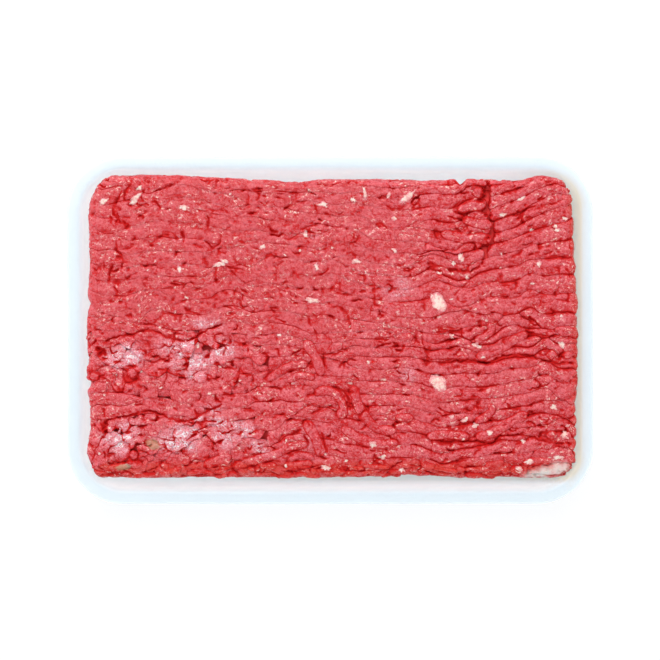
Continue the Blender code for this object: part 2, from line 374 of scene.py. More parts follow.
# The longest creases: x and y of the points of their routes.
LEFT_CREASE = ((-74.0, 35.9), (-70.7, 34.7), (-68.0, 36.3), (-65.7, 38.6), (-62.5, 38.1), (-60.4, 35.1))
OVER_CRUMBS = ((-90.5, -5.5), (-86.9, -3.6), (-81.0, -2.2), (-70.2, -0.4))
OVER_CRUMBS += ((-64.6, -2.8), (-56.7, -4.4), (-49.5, -0.4), (-42.3, 2.4))
RIGHT_CREASE = ((43.0, -13.3), (57.7, -12.4), (63.3, -13.3), (67.7, -10.6))
RIGHT_CREASE += ((75.1, -9.7), (88.0, -12.7), (98.3, -13.3))
# Creases pressed into the top: depth, repeats, and route.
CREASES = (
    (0.9, ACROSS + NEARER, LEFT_CREASE),
    (1.2, ACROSS, ((-43.5, 36.9), (-43.9, 34.6), (-47.0, 32.2))),
    (0.6, ONCE, ((-63.8, 42.8), (-58.7, 42.4), (-55.9, 41.4), (-51.5, 40.0), (-43.1, 38.3))),
    (0.8, ACROSS + NEARER, ((-38.2, 28.5), (-36.4, 26.3), (-33.2, 26.3), (-30.5, 28.5))),
    (1.0, ONCE, ((-52.5, 15.7), (-49.9, 13.9), (-47.1, 13.2), (-44.7, 14.3))),
    (1.1, ONCE, ((-37.3, 17.1), (-37.7, 14.0), (-36.7, 12.4))),
    (0.9, ONCE, ((-57.6, 21.7), (-52.7, 20.9))),
    (0.8, ONCE, ((-33.0, 54.6), (-32.4, 50.6), (-33.4, 48.6))),
    (1.7, ONCE, ((-86.4, 26.3), (-87.4, 22.6), (-87.2, 18.4))),
    (1.4, ONCE, ((-85.0, 35.2), (-84.6, 31.8), (-82.6, 29.2), (-82.0, 26.4), (-83.6, 23.8))),
    (1.3, ONCE, ((-82.6, 56.0), (-84.6, 50.8), (-86.0, 46.5), (-83.6, 43.6), (-81.2, 41.4))),
    (1.2, ONCE, ((-86.0, 17.6), (-84.4, 14.4), (-84.9, 12.6))),
    (1.1, ONCE, ((-78.6, 60.6), (-79.6, 57.4), (-81.8, 53.2), (-80.6, 50.4))),
    (0.7, ONCE, ((-73.0, 43.6), (-71.4, 38.8))),
    (1.1, ONCE, ((-16.0, 55.8), (-13.2, 55.0), (-15.2, 50.2), (-18.4, 47.8))),
    (0.6, ONCE, ((-21.6, 45.0), (-17.2, 42.6), (-16.8, 39.9))),
    (0.7, ONCE, ((14.3, 40.2), (18.3, 42.2), (20.2, 42.6), (22.2, 40.2), (24.6, 39.5), (35.8, 40.2))),
    (0.9, ONCE, ((21.4, 50.2), (24.6, 48.2), (28.6, 48.6), (30.2, 50.2))),
    (1.1, ONCE, ((29.0, 23.1), (34.2, 24.7))),
    (1.1, ONCE, ((1.1, 15.9), (4.7, 14.3), (8.7, 14.3), (10.3, 15.9))),
    (1.3, ONCE, ((17.1, 19.5), (17.6, 14.0), (17.7, 8.8))),
    (1.0, ONCE, ((-20.6, 15.5), (-18.4, 12.8))),
    (1.1, NEARER, ((0.3, 9.2), (3.5, 9.2), (5.9, 7.2), (7.5, 4.0), (8.1, 0.0))),
    (1.4, NEARER, ((-15.8, -9.6), (-13.0, -8.6), (-11.2, -7.6))),
    (1.1, NEARER, ((-3.2, -8.0), (-2.1, -13.9), (-0.9, -16.7))),
    (0.9, ONCE, ((17.5, -2.8), (21.0, -4.2), (24.6, -4.0))),
    (1.1, ONCE, ((37.4, 11.2), (37.0, 7.2))),
    (1.0, ONCE, ((35.0, 0.5), (34.2, -3.5), (35.8, -6.0))),
    (1.0, NEARER, ((41.8, 1.2), (47.0, -0.6), (53.0, -0.8), (59.7, 2.4))),
    (0.9, ONCE, ((80.0, -1.2), (88.0, -2.6), (98.3, -3.6))),
    (1.0, ONCE, ((78.4, 47.0), (85.0, 49.4), (92.4, 51.4))),
    (0.8, ONCE, ((58.0, 17.0), (60.5, 15.0), (59.8, 11.5), (63.0, 8.8))),
    (1.5, NEARER, OVER_CRUMBS),
    (1.5, NEARER, RIGHT_CREASE),
)
# Holes between strands: x, y, radius, depth.
HOLES = (
    (60.9, 53.4, 1.5, 2.6),
    (63.0, 45.8, 1.4, 2.4),
    (83.6, 33.0, 1.0, 1.9),
    (90.0, 14.8, 1.0, 1.8),
    (58.9, 2.6, 1.0, 1.9),
    (80.0, -1.4, 1.1, 2.1),
    (25.8, -5.8, 1.0, 2.4),
    (25.8, -37.6, 1.0, 2.4),
    (58.9, -29.2, 1.0, 1.9),
    (80.0, -33.2, 1.1, 2.1),
    (-84.0, 43.9, 0.9, 1.8),
    (-80.4, 40.9, 1.0, 1.9),
    (-83.0, 48.5, 0.7, 1.5),
    (-83.0, 28.7, 0.9, 1.9),
    (-84.5, 18.5, 1.5, 1.3),
    (-83.5, 11.4, 0.8, 1.7),
    (-79.4, 5.3, 0.9, 1.7),
    (-74.3, 45.0, 1.0, 1.9),
    (-72.3, 59.2, 0.8, 1.7),
    (-79.8, 24.0, 0.7, 1.2),
    (-91.6, -8.4, 1.8, 2.6),
    (-89.6, -38.8, 2.0, 2.6),
)
# Strands that lie loose over the others: width, repeats, and route.
LOOSE_STRANDS = (
    (4.8, NEARER, ((-10.2, -4.0), (-6.6, -9.2), (-4.6, -13.7), (-3.2, -18.4))),
    (4.0, ONCE, ((-25.8, -20.3), (-20.8, -17.2), (-15.8, -14.4), (-8.5, -13.4))),
    (4.0, ONCE, ((-35.9, -53.2), (-28.0, -51.4), (-20.8, -49.0), (-15.8, -46.3), (-8.5, -45.4))),
    (3.6, NEARER, ((-17.0, -20.6), (-12.1, -18.0), (-6.0, -19.2))),
    (4.2, ONCE, ((-6.4, -25.6), (-1.9, -23.9), (2.2, -25.2), (4.6, -28.4), (5.2, -32.0), (3.2, -35.0))),
    (4.8, ONCE, ((9.2, -22.0), (10.6, -28.4), (13.5, -33.9), (18.0, -38.6), (26.4, -40.2))),
    (4.6, ONCE, ((4.5, -38.6), (13.0, -43.6), (20.0, -45.4), (27.4, -44.6))),
    (4.2, NEARER, ((25.8, -2.8), (33.4, -3.0))),
    (4.6, NEARER, ((57.8, -10.9), (62.5, -9.6), (68.5, -6.7), (73.2, -3.9), (78.6, -1.2))),
    (3.6, NEARER, ((57.2, -4.6), (62.0, -2.4), (64.2, 0.6), (62.8, 2.8))),
    (4.2, NEARER, ((38.4, -10.4), (46.0, -9.6), (55.4, -10.6))),
    (4.4, NEARER, ((85.6, -9.9), (90.4, -9.8))),
    (3.6, NEARER, ((92.0, -9.9), (96.6, -10.0))),
    (5.0, ONCE, ((56.2, 54.2), (61.2, 55.6))),
    (4.6, ONCE, ((50.5, 47.4), (56.5, 49.2), (62.0, 49.5))),
    (4.4, ONCE, ((52.5, 44.2), (58.5, 42.2), (64.6, 41.8))),
    (4.6, ONCE, ((44.0, 38.4), (54.0, 36.4), (63.0, 36.6))),
    (4.2, ONCE, ((-96.5, -18.6), (-91.5, -18.2))),
    (4.6, ONCE, ((-78.8, -14.8), (-78.2, -19.4))),
    (4.6, ONCE, ((-78.2, -47.6), (-77.6, -51.6))),
)


def moved_routes(listed):
    """The routes of a list of (value, repeats, route), each as often as it comes back."""
    for value, repeats, route in listed:
        for move_x, move_y in ((0.0, 0.0),) + repeats:
            yield value, [(x + move_x, y + move_y) for x, y in route]


def press_loose_strands():
    """How far the strands under the loose ones are pressed down."""
    pressed = Map()
    for width, route in moved_routes(LOOSE_STRANDS):
        pressed.line(route, 0.54 * width, 1.15, 0.0)
    return pressed


MEAT_AREA = (MEAT_HIGH[0] - MEAT_LOW[0]) * (MEAT_HIGH[1] - MEAT_LOW[1])
AREA_PER_CREASE = 24
AREA_PER_PIT = 15
NEAR_EDGE_EVERY = 7  # every so many scattered creases, one lies along the near edge
CRESCENT_EVERY = 4  # and one is bent strongly
CREASE_STEPS = 4


def press_holes(depths):
    """Presses in the holes, each as a ragged cluster of marks."""
    for x, y, radius, deep in HOLES:
        for share in (1.0, 0.9, 0.8, 0.6, 0.5):
            dx, dy = rng.normal(0, 0.6 * radius, 2)
            size = radius * rng.uniform(0.35, 0.6)
            depths.stamp(x + dx, y + dy, size, share * deep, rng.uniform(1, 2), rng.uniform(-1.5, 1.5))


def scatter_crease(depths, number):
    """Presses one short crease in at random: most lie along the strands."""
    x, y = rng.uniform(-98, 98), rng.uniform(-64, 66)
    if number % NEAR_EDGE_EVERY == 0:
        y = rng.uniform(MEAT_LOW[1] - 2, MEAT_LOW[1] + 6)
    angle = math.atan(float(strand_slope(x, y))) + rng.normal(0, 0.30)
    if rng.uniform() < (0.25 if x > 35 else 0.14):
        angle += math.pi / 2
    length = min(rng.gamma(2.0, 1.5) + 0.8, 9.0)
    bend, deep = rng.uniform(-0.5, 0.5), rng.uniform(0.7, 2.1)
    if number % CRESCENT_EVERY == 0:
        length, angle = rng.uniform(3.0, 6.0), angle + rng.uniform(-1.2, 1.2)
        bend, deep = rng.uniform(1.2, 2.6) * rng.choice((-1, 1)), rng.uniform(1.3, 2.3)
    route, stride = [(x, y)], length / CREASE_STEPS
    for step in range(CREASE_STEPS):
        turn = angle + bend * (step / (CREASE_STEPS - 1) - 0.5)
        x, y = x + stride * math.cos(turn), y + stride * math.sin(turn)
        route.append((x, y))
    depths.line(route, rng.uniform(0.30, 0.46), deep)


def press_marks():
    """The map of creases, pits and holes, as depths below the skin."""
    depths = Map()
    for deep, route in moved_routes(CREASES):
        depths.line(route, 0.85, 0.50 * deep, 0.5)
        depths.line(route, 0.36, 1.40 * deep)
    depths.line(TOP_CREVICE, 0.42, 2.1, 0.4)
    depths.line(SIDE_CREVICE, 0.50, 2.1, 0.6)
    press_holes(depths)
    for number in range(int(MEAT_AREA / AREA_PER_CREASE)):
        scatter_crease(depths, number)
    for _ in range(int(MEAT_AREA / AREA_PER_PIT)):
        x, y = rng.uniform(-100, 100), rng.uniform(-66, 68)
        size = rng.uniform(0.22, 0.55)
        deep = rng.uniform(0.3, 1.2) * size / 0.5
        depths.stamp(x, y, size, deep, rng.uniform(1, 2.2), rng.normal(0, 0.5))
    return depths


# Patches of smeared white fat, with painted sheen and glints over it: x, y, radius, strength.
SMEARED_FAT_AND_SHEEN = (
    (-52.8, -4.2, 1.8, 2.2),
    (-52.3, -35.7, 1.8, 2.2),
    (-81.3, -10.3, 1.5, 2.0),
    (-80.7, -42.0, 1.5, 2.0),
    (-59.4, -9.8, 1.5, 2.0),
    (-59.0, -41.8, 1.5, 2.0),
    (-47.0, 1.5, 4.0, 1.0),
    (-45.5, -31.5, 4.0, 1.0),
    (-57.0, -11.0, 8.0, 1.3),
    (-60.0, -43.0, 8.0, 1.3),
    (-41.0, -8.0, 6.0, 1.3),
    (-40.0, -42.0, 7.0, 1.2),
    (-83.0, -11.0, 7.0, 1.3),
    (-83.0, -43.0, 7.0, 1.3),
    (-29.0, -47.0, 5.0, 1.1),
    (-12.0, -41.0, 6.0, 0.5),
    (28.0, 15.0, 4.5, 0.9),
    (29.5, -17.5, 4.0, 0.8),
    (-60.5, 36.0, 2.0, 0.8),
    (-5.9, 37.0, 2.0, 0.8),
)
# Sinew that shows through: x, y, half length, half width, angle.
SINEW = ((-70.2, -45.4, 3.2, 2.0, -0.44), (-82.0, -54.6, 3.0, 1.3, 0.1))
PALE_SMEAR = ((78.5, -59.6), (84.0, -57.6), (89.0, -56.0), (94.5, -54.8))


# Smeared fat, with painted sheen and glints over it.
def smear_fat_and_sheen():
    fat_and_sheen = Map()
    for x, y, radius, strength in SMEARED_FAT_AND_SHEEN:
        for _ in range(7):
            dx, dy = rng.normal(0, 0.45 * radius, 2)
            size = radius * rng.uniform(0.3, 0.6)
            fat_and_sheen.stamp(x + dx, y + 0.7 * dy, size, strength * rng.uniform(0.5, 1), 1.5, 0.0)
    return fat_and_sheen


def stain_pale():
    """The sinew and, at the near right corner, the smear of pale fat."""
    sinew, smear = Map(), Map()
    for x, y, half_length, half_width, angle in SINEW:
        sinew.stamp(x, y, half_width, 1.3, half_length / half_width, angle)
    smear.line(PALE_SMEAR, 3.3, 1.15, 0.0)
    return sinew, smear


MARKS = press_marks()
FAT_AND_SHEEN_MAP = smear_fat_and_sheen()
SINEW_MAP, SMEAR_MAP = stain_pale()
PRESSED_MAP = press_loose_strands()


def top_relief(x, y):
    """Small unevenness of the meat's top."""
    relief = 0.22 * fractal(x / 4.6, y / 3.2, seed=21)
    relief = relief + 0.20 * fractal(x / 1.7, y / 1.2, seed=24, octaves=2)
    return relief * (0.75 + 0.25 * looseness(x, y))


# ---- Strands and crumbs as meshes ----

ACROSS_TOP = np.linspace(-1, 1, 17)
ACROSS_TOP = np.pad(0.5 * ACROSS_TOP + 0.5 * np.sin(np.pi / 2 * ACROSS_TOP), 2, mode="edge")
TOP_POINTS = len(ACROSS_TOP)  # with a margin at each side, whose last point dives under the neighbour
MARGIN = np.zeros(TOP_POINTS)
MARGIN[[0, 1, -2, -1]] = (-0.18, -0.03, 0.03, 0.18)
DIVE = 0.5
# Below the top: share of the half width, and share of the strand's depth.
UNDER = ((1.08, -0.9), (0.75, -1.0), (-0.75, -1.0), (-1.08, -0.9))
RING = TOP_POINTS + len(UNDER)
SHOULDER = (3.4, 2.1)  # how square a strand's top is: merged, and loose
DEEPEST = 2.0  # depth at which the painted shade of a crease is darkest
SEAM = 0.22  # of that painted shade, where strands meet
CRUMB_RINGS = 11
CRUMB_SHOULDER = 2.3
SHIFT_ALONG = 900
SHIFT_UP = 50


def ring_corners(count, rings, start=0):
    """For closed rings of points that follow each other: each point, the one after it in its ring,
    and the two beside them in the next ring."""
    slots = np.arange(count)
    first = start + count * np.arange(rings - 1)[:, None]
    here, after = first + slots, first + (slots + 1) % count
    return here, after, here + count, after + count


def fan(middle, start, count, backwards=False):
    """Triangles from a point to each side of a ring of points."""
    here, after = start + np.arange(count), start + (np.arange(count) + 1) % count
    sides = [after, here] if backwards else [here, after]
    return np.stack([np.full(count, middle)] + sides, -1).tolist()


def closing(along, radii):
    """The share of its full width that a strand has at each ring, as it closes at both ends."""
    first = np.clip(1 - along / radii[0], 0, 1)
    last = np.clip(1 - (along[-1] - along) / radii[1], 0, 1)
    return np.sqrt(np.maximum(1 - np.maximum(first, last) ** 2, 0.01))


class Builder:
    """Gathers the strands or crumbs of one piece on the unrolled plane.

    Each has a shift from 0 to 1, which keeps its colours' pattern apart from the others'.
    """

    def __init__(self, name):
        self.name = name
        self.points = []
        self.deep = []
        self.flow = []
        self.quads = []
        self.others = []
        self.count = 0

    def add(self, points, deep, flow, quads, others):
        self.points.append(points.reshape(-1, 3))
        self.deep.append(np.ravel(deep))
        self.flow.append(flow.reshape(-1, 3))
        self.quads.append(np.reshape(quads, (-1, 4)) + self.count)
        self.others += [(np.asarray(face) + self.count).tolist() for face in others]
        self.count += len(self.points[-1])

    def strand(self, left, right, depths, lift, shift, end_radii, on_top=False):
        """One closed strand between two borders, with the depth of the crease beside each."""
        middle, half = (left + right) / 2, (right - left) / 2
        along = lengths_along(middle)
        close = closing(along, end_radii)
        widths = np.maximum(np.hypot(*half.T), 0.1)
        across = np.repeat(np.concatenate([ACROSS_TOP, [u[0] for u in UNDER]])[None, :], len(middle), 0)
        across[:, :TOP_POINTS] += MARGIN / widths[:, None]
        plane = middle[:, None, :] + half[:, None, :] * (across * close[:, None])[:, :, None]
        side = np.where(ACROSS_TOP[None, :] < 0, depths[0][:, None], depths[1][:, None])
        x, y = plane[..., 0], plane[..., 1]
        loose = np.maximum(looseness(*middle.T), on_top)[:, None]
        shoulder = SHOULDER[0] + (SHOULDER[1] - SHOULDER[0]) * loose
        curve = 1 - (1 - np.abs(ACROSS_TOP) ** shoulder) ** (1 / shoulder)
        tx, ty = x[:, :TOP_POINTS], y[:, :TOP_POINTS]
        end_depth, marked = (1.0, 0.5) if on_top else (0.6, 1.0)
        pressed = 0.0 if on_top else PRESSED_MAP.read(tx, ty)
        sunk = side * curve + end_depth * (1 - close[:, None]) + marked * MARKS.read(tx, ty)
        dome = 0.40 * loose * ACROSS_TOP**2
        lifts = np.broadcast_to(lift, (len(middle),))[:, None]
        height, deep = np.empty(x.shape), np.ones(x.shape)
        height[:, :TOP_POINTS] = lifts + top_relief(tx, ty) - sunk - dome - pressed
        height[:, :TOP_POINTS] -= DIVE * (np.abs(MARGIN) > 0.1)
        height[:, TOP_POINTS:] = STRAND_DEPTH * np.array([u[1] for u in UNDER])
        # The painted crease shade is read from deep: a deeper red down the creases, in a halo on their
        # flanks, along the seams, and where a loose strand presses the one under it.
        seam = (SEAM + 0.5 * side) * (np.abs(ACROSS_TOP) > 0.99)
        deep[:, :TOP_POINTS] = (sunk + 0.5 * side * curve + 0.45 * pressed) / DEEPEST + seam
        forward = np.repeat(along[:, None], RING, 1) + shift * SHIFT_ALONG
        flow = np.stack([forward, across * widths[:, None], np.full(x.shape, shift * SHIFT_UP)], -1)
        here, after, here_next, after_next = ring_corners(RING, len(middle))
        quads = np.stack([here_next, after_next, after, here], -1)
        caps = [here[0], here_next[-1][::-1]]
        self.add(np.stack([x, y, height], -1), deep, flow, quads, caps)

    def crumb(self, centre, radii, lift, lean, shift):
        """One closed crumb, whose outline is given as its radii all round."""
        count = len(radii)
        turns = np.linspace(0, 2 * np.pi, count, endpoint=False)
        shares = np.linspace(0, 1, CRUMB_RINGS + 1)[1:]
        shares = 0.45 * shares + 0.55 * np.sin(np.pi / 2 * shares)
        out = np.concatenate([shares[:, None] * radii, [radii + MARGIN[-2], radii + MARGIN[-1]]])
        x, y = centre[0] + out * np.cos(turns), centre[1] + out * np.sin(turns)
        curve = np.append(1 - (1 - shares**CRUMB_SHOULDER) ** (1 / CRUMB_SHOULDER), (1.0, 1.0))
        border = 0.20 + 0.90 * smooth(-0.30, 0.5, noise(x[-1] / 2.8, y[-1] / 2.8, seed=63))
        border = border * (1.0 - 0.35 * np.sin(turns))
        sunk = curve[:, None] * border + MARKS.read(x, y) + PRESSED_MAP.read(x, y)
        tilt = lean[0] * (x - centre[0]) + lean[1] * (y - centre[1])
        under_strands = 0.45 * np.maximum(-in_crumbs(x, y), 0)
        height = lift + tilt + 1.8 * top_relief(x, y) - sunk - under_strands
        height[-1] -= DIVE
        under = np.column_stack([x[-1], y[-1], np.full(count, -0.9 * STRAND_DEPTH)])
        under_inner = np.column_stack([x[3], y[3], np.full(count, -STRAND_DEPTH)])
        top = [[centre[0], centre[1], height[0].mean()]]
        base = [[centre[0], centre[1], -STRAND_DEPTH]]
        rows = list(np.stack([x, y, height], -1)) + [under, under_inner]
        here, after, here_next, after_next = ring_corners(count, len(rows), 1)
        quads = np.stack([here, here_next, after_next, after], -1)
        last = here_next[-1][0]
        fans = fan(0, 1, count) + fan(last + count, last, count, backwards=True)
        points = np.concatenate([top] + rows + [base])
        # The same painted crease shade: the crumbs' sunken edges and undersides are painted a deeper red.
        deep = np.concatenate([[0.0], np.ravel(sunk) / DEEPEST, np.ones(2 * count + 1)])
        up = np.full(len(points), shift * SHIFT_UP)
        flow = np.stack([points[:, 0] + shift * SHIFT_ALONG, points[:, 1], up], -1)
        self.add(points, deep, flow, quads, fans)

    def build(self, material):
        """Rolls what was gathered over the block, and notes where it is stained, where it carries painted
        sheen, and how far it lies on the block's near and right sides, which get painted shade.
        """
        points = np.concatenate(self.points)
        x, y, _ = points.T
        edge, nx, ny = from_edge(x, y)
        # Painted shade: how far a point lies on the block's near or right side, turned away from the light
        side = smooth(0, 4, edge + 8.5 * np.maximum(-ny, 0) ** 2 + 4.5 * np.maximum(nx, 0) ** 2)
        values = {
            "deep": np.clip(np.concatenate(self.deep), 0, 1),
            "stains_and_sheen": np.stack([layer.read(x, y) for layer in (FAT_AND_SHEEN_MAP, SINEW_MAP, SMEAR_MAP)], -1),
            "side": side,
            "flow": np.concatenate(self.flow),
        }
        faces = np.concatenate(self.quads).tolist() + self.others
        return make_piece(self.name, np.stack(on_block(*points.T), -1), faces, values, material)


def make_piece(name, points, faces, values, material):
    """A smooth mesh from points in millimetres, with values at them for its material to read."""
    mesh = bpy.data.meshes.new(name)
    mesh.from_pydata((points * MM).tolist(), [], faces)
    for key, value in values.items():
        kind, field = ("FLOAT_VECTOR", "vector") if value.ndim == 2 else ("FLOAT", "value")
        layer = mesh.attributes.new(key, kind, "POINT")
        layer.data.foreach_set(field, np.ravel(value).astype(np.float32))
    return add_piece(name, mesh, material)


def add_piece(name, mesh, material):
    mesh.shade_smooth()
    mesh.materials.append(material)
    thing = bpy.data.objects.new(name, mesh)
    bpy.context.scene.collection.objects.link(thing)
    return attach(thing, "root")


# ---- Laying the strands ----


def strand_line(number, x, start):
    """y of the border below a strand, along x."""
    lift = np.cumsum(strand_slope(x, start)) * (x[1] - x[0])
    wander = 1.3 * noise(x / 24, number * 0.45, seed=11) + 0.42 * noise(x / 10, number * 1.1, seed=12)
    own = 0.28 * noise(x / 2.8, number * 9.3, seed=13)
    return start + lift + wander + own


def crease_depth(x, y, number):
    """How deep the crease is along one border between strands."""
    loose = looseness(x, y)
    broad = noise(x / 9, number * 5.1, seed=15) + 0.45 * noise(x / 2.4, number * 3.3, seed=16)
    fade = smooth(0.35 - 0.45 * loose, 0.80 - 0.25 * loose, broad)
    return (0.35 + 0.40 * loose) * fade + 0.20 * loose


HALF_SPAN = 112.0  # of the unrolled plane, along the strands
LOOSE_FROM = 36.0  # x beyond which the strands end more often, and more bluntly
SPREAD = 3.5  # strands over which their neighbours fill in where one runs out
STRAND_PIECES = 5  # bands of strands, from the near edge to the far one
CUT_GAP = 0.05  # to each side of the place where a crevice cuts a strand
FEWEST_RINGS = 8
CUT_END = 1.7  # radius of a strand's end beside the crevice
STRAND_END = 1.0


def lane_borders(x):
    """The borders between strands, which close up where a strand runs out between its neighbours."""
    low, high = MEAT_LOW[1] - UNROLLED - 14, MEAT_HIGH[1] + UNROLLED + 4
    count = int((high - low) / PITCH)
    lines = np.array([strand_line(k, x, low + PITCH * k) for k in range(count + 1)])
    numbers = np.arange(count + 1)
    moves = np.zeros_like(lines)
    for lane in range(count):
        place = -HALF_SPAN + rng.uniform(0, 120)
        short_ends = lines[lane][0] < 8
        width = lines[lane + 1] - lines[lane]
        while place < HALF_SPAN:
            length, taper = rng.exponential(5) + 1.0, rng.uniform(6.0, 13.0)
            if short_ends and place > LOOSE_FROM:
                taper = rng.uniform(4.0, 7.0)
            gone = smooth(place - taper, place, x) * (1 - smooth(place + length, place + length + taper, x))
            share = rng.uniform(0.1, 0.9)
            above = -share * np.exp(-(numbers - lane - 1) / SPREAD) * (numbers > lane)
            below = (1 - share) * np.exp(-(lane - numbers) / SPREAD) * (numbers <= lane)
            moves += (above + below)[:, None] * (width * gone)[None, :]
            soon = short_ends and place > LOOSE_FROM - 30
            place += length + taper + (rng.uniform(22, 70) if soon else rng.uniform(65, 170))
    lines = np.maximum.accumulate(lines + moves, axis=0)
    for lane in range(count):
        width = lines[lane + 1] - lines[lane]
        surplus = width * (1 - smooth(0.2, 1.3, width)) / 2
        lines[lane] += surplus
        lines[lane + 1] -= surplus
    return lines


def runs(valid):
    """First and last index of each stretch where valid holds."""
    edges = np.diff(np.concatenate([[0], valid.astype(int), [0]]))
    return list(zip(np.nonzero(edges == 1)[0], np.nonzero(edges == -1)[0]))


def crossing(x, y, route):
    """Where a strand crosses a route that runs along y."""
    points = sorted(route, key=lambda point: point[1])
    route_y = [point[1] for point in points]
    route_x = np.interp(y, route_y, [point[0] for point in points])
    inside = (y > route_y[0]) & (y < route_y[-1])
    change = np.nonzero(np.diff(np.sign(x - route_x)) * inside[1:])[0]
    return [x[i] for i in change]


def cut_piece(piece, x, cut):
    """A stretch of a strand, cut in two where the crevice crosses it well inside."""
    first, last, before, after = piece
    end, begin = (int(np.searchsorted(x, cut + side * CUT_GAP)) for side in (-1, 1))
    if first + FEWEST_RINGS < end and begin < last - FEWEST_RINGS:
        return [(first, end, before, CUT_END), (begin, last, STRAND_END, after)]
    return [piece]


def lay_strands(builders):
    """The strands that run across the pack, cut where they break, cross a crevice or meet crumbs."""
    x = np.arange(-HALF_SPAN, HALF_SPAN, RING_STEP)
    lines = lane_borders(x)
    for k in range(len(lines) - 1):
        lower, upper = lines[k], lines[k + 1]
        middle = (lower + upper) / 2
        edge = from_edge(x, middle)[0]
        valid = (edge < UNROLLED) & (in_crumbs(x, middle) < 0) & (upper - lower > 0.15)
        cuts = [place + rng.uniform(-0.4, 0.4) for place in crossing(x, middle, TOP_CREVICE)]
        pieces = [(first, last, STRAND_END, STRAND_END) for first, last in runs(valid)]
        for cut in cuts:
            pieces = [half for piece in pieces for half in cut_piece(piece, x, cut)]
        builder = builders[k * STRAND_PIECES // (len(lines) - 1)]
        for first, last, before, after in pieces:
            if last - first < FEWEST_RINGS:
                continue
            part = slice(first, last)
            px, low, high = x[part], lower[part], upper[part]
            left, right = np.stack([px, low], -1), np.stack([px, high], -1)
            depths = (crease_depth(px, low, k), crease_depth(px, high, k + 1))
            lift = rng.uniform(-0.25, 0.2) + 0.25 * noise(px / 9, k * 3.7, seed=17)
            lift = lift * looseness(px, middle[part])
            builder.strand(left, right, depths, lift, rng.uniform(), (before, after))


def lay_loose_strand(builder, route, width, lift):
    """A loose strand along a curved route over the top."""
    at, path = smooth_path(route, RING_STEP, FEWEST_RINGS)
    way = np.gradient(path, axis=0)
    way /= np.maximum(np.hypot(*way.T), 1e-9)[:, None]
    side = np.stack([-way[:, 1], way[:, 0]], -1)
    seed = rng.uniform(0, 99)
    half = width / 2 * (1 + 0.12 * noise(at / 2.2, seed, seed=51))
    left, right = path - side * half[:, None], path + side * half[:, None]
    deep = 1.15 + 0.35 * noise(at / 3.0, seed, seed=52)
    radii = (0.6 * width, 0.6 * width)
    builder.strand(left, right, (deep, deep), lift, rng.uniform(), radii, on_top=True)


def lay_short_strands(builder):
    """Short ends of strands, pressed in along the near edge."""
    x = MEAT_LOW[0] + 8
    while x < MEAT_HIGH[0] - 20:
        y = MEAT_LOW[1] + rng.uniform(-1.5, 7.0)
        length, slope, bend = rng.uniform(4, 12), rng.normal(0, 0.13), rng.normal(0, 0.5)
        end = (x + length, y + slope * length)
        route = [(x, y), (x + length / 2, y + slope * length / 2 + bend), end]
        lay_loose_strand(builder, route, rng.uniform(2.4, 4.2), rng.uniform(0.3, 0.8))
        x += length * rng.uniform(0.3, 0.9)


CRUMB_SIZES = (6.4, 5.0, 3.8, 2.8)
CRUMB_TRIES = 1500  # at each size
CRUMB_TURNS = np.linspace(0, 2 * np.pi, 56, endpoint=False)
CRUMB_REACH = np.arange(0.4, 9.0, 0.15)


def place_crumbs():
    """x, y and size of each crumb: the first lies under the larger sinew, the largest come first."""
    seeds = [SINEW[0][:2] + CRUMB_SIZES[:1]]
    for size in CRUMB_SIZES:
        for _ in range(CRUMB_TRIES):
            x, y = rng.uniform(MEAT_LOW[0] - UNROLLED, -28), rng.uniform(-68, 4)
            if in_crumbs(x, y) < -1.5 or from_edge(x, y)[0] > UNROLLED - 1:
                continue
            if all(math.hypot(x - a, y - b) > 0.52 * (size + s) for a, b, s in seeds):
                seeds.append((x, y, size))
    return np.array(seeds)


def crumb_radii(number, seeds, angles, stretch):
    """How far a crumb reaches all round, up to where another is nearer or the crumbs end."""
    cx, cy, _ = seeds[number]
    x = cx + CRUMB_REACH * np.cos(CRUMB_TURNS)[:, None]
    y = cy + CRUMB_REACH * np.sin(CRUMB_TURNS)[:, None]
    wx = x + 1.5 * noise(x / 3.2, y / 3.2, seed=61)
    wy = y + 1.5 * noise(x / 3.2, y / 3.2, seed=62)
    close = np.hypot(seeds[:, 0] - cx, seeds[:, 1] - cy) < 16
    own, nearest = None, np.full(x.shape, 1e9)
    for other in np.nonzero(close)[0]:
        dx, dy = wx - seeds[other, 0], wy - seeds[other, 1]
        c, s = math.cos(angles[other]), math.sin(angles[other])
        far = np.hypot((dx * c + dy * s) / stretch[other], dy * c - dx * s) / seeds[other, 2]
        if other == number:
            own = far
        else:
            nearest = np.minimum(nearest, far)
    outside = (own > nearest) | (in_crumbs(x, y) < -3.0)
    radii = CRUMB_REACH[np.where(outside.any(1), outside.argmax(1), len(CRUMB_REACH) - 1)]
    radii = (np.roll(radii, 1) + 2 * radii + np.roll(radii, -1)) / 4
    return np.clip(radii, 0.5, 6.5)


def lay_crumbs(builder):
    """The crumbs near the left edge, pressed against each other."""
    seeds = place_crumbs()
    angles = rng.normal(0.0, 0.8, len(seeds))
    stretch = rng.uniform(1.0, 2.2, len(seeds))
    for number, (x, y, _) in enumerate(seeds):
        radii = crumb_radii(number, seeds, angles, stretch)
        lean = (rng.uniform(-0.08, 0.08), rng.uniform(-0.22, 0.0))
        builder.crumb((x, y), radii, rng.uniform(-0.45, 0.35), lean, rng.uniform())


def make_strands(material):
    bands = [Builder("strands_%d" % (band + 1)) for band in range(STRAND_PIECES)]
    lay_strands(bands)
    crumbs, loose = Builder("crumbs"), Builder("loose_strands")
    lay_crumbs(crumbs)
    for width, route in moved_routes(LOOSE_STRANDS):
        lay_loose_strand(loose, route, width, rng.uniform(0.1, 0.3))
    lay_short_strands(loose)
    return [builder.build(material) for builder in bands + [crumbs, loose]]


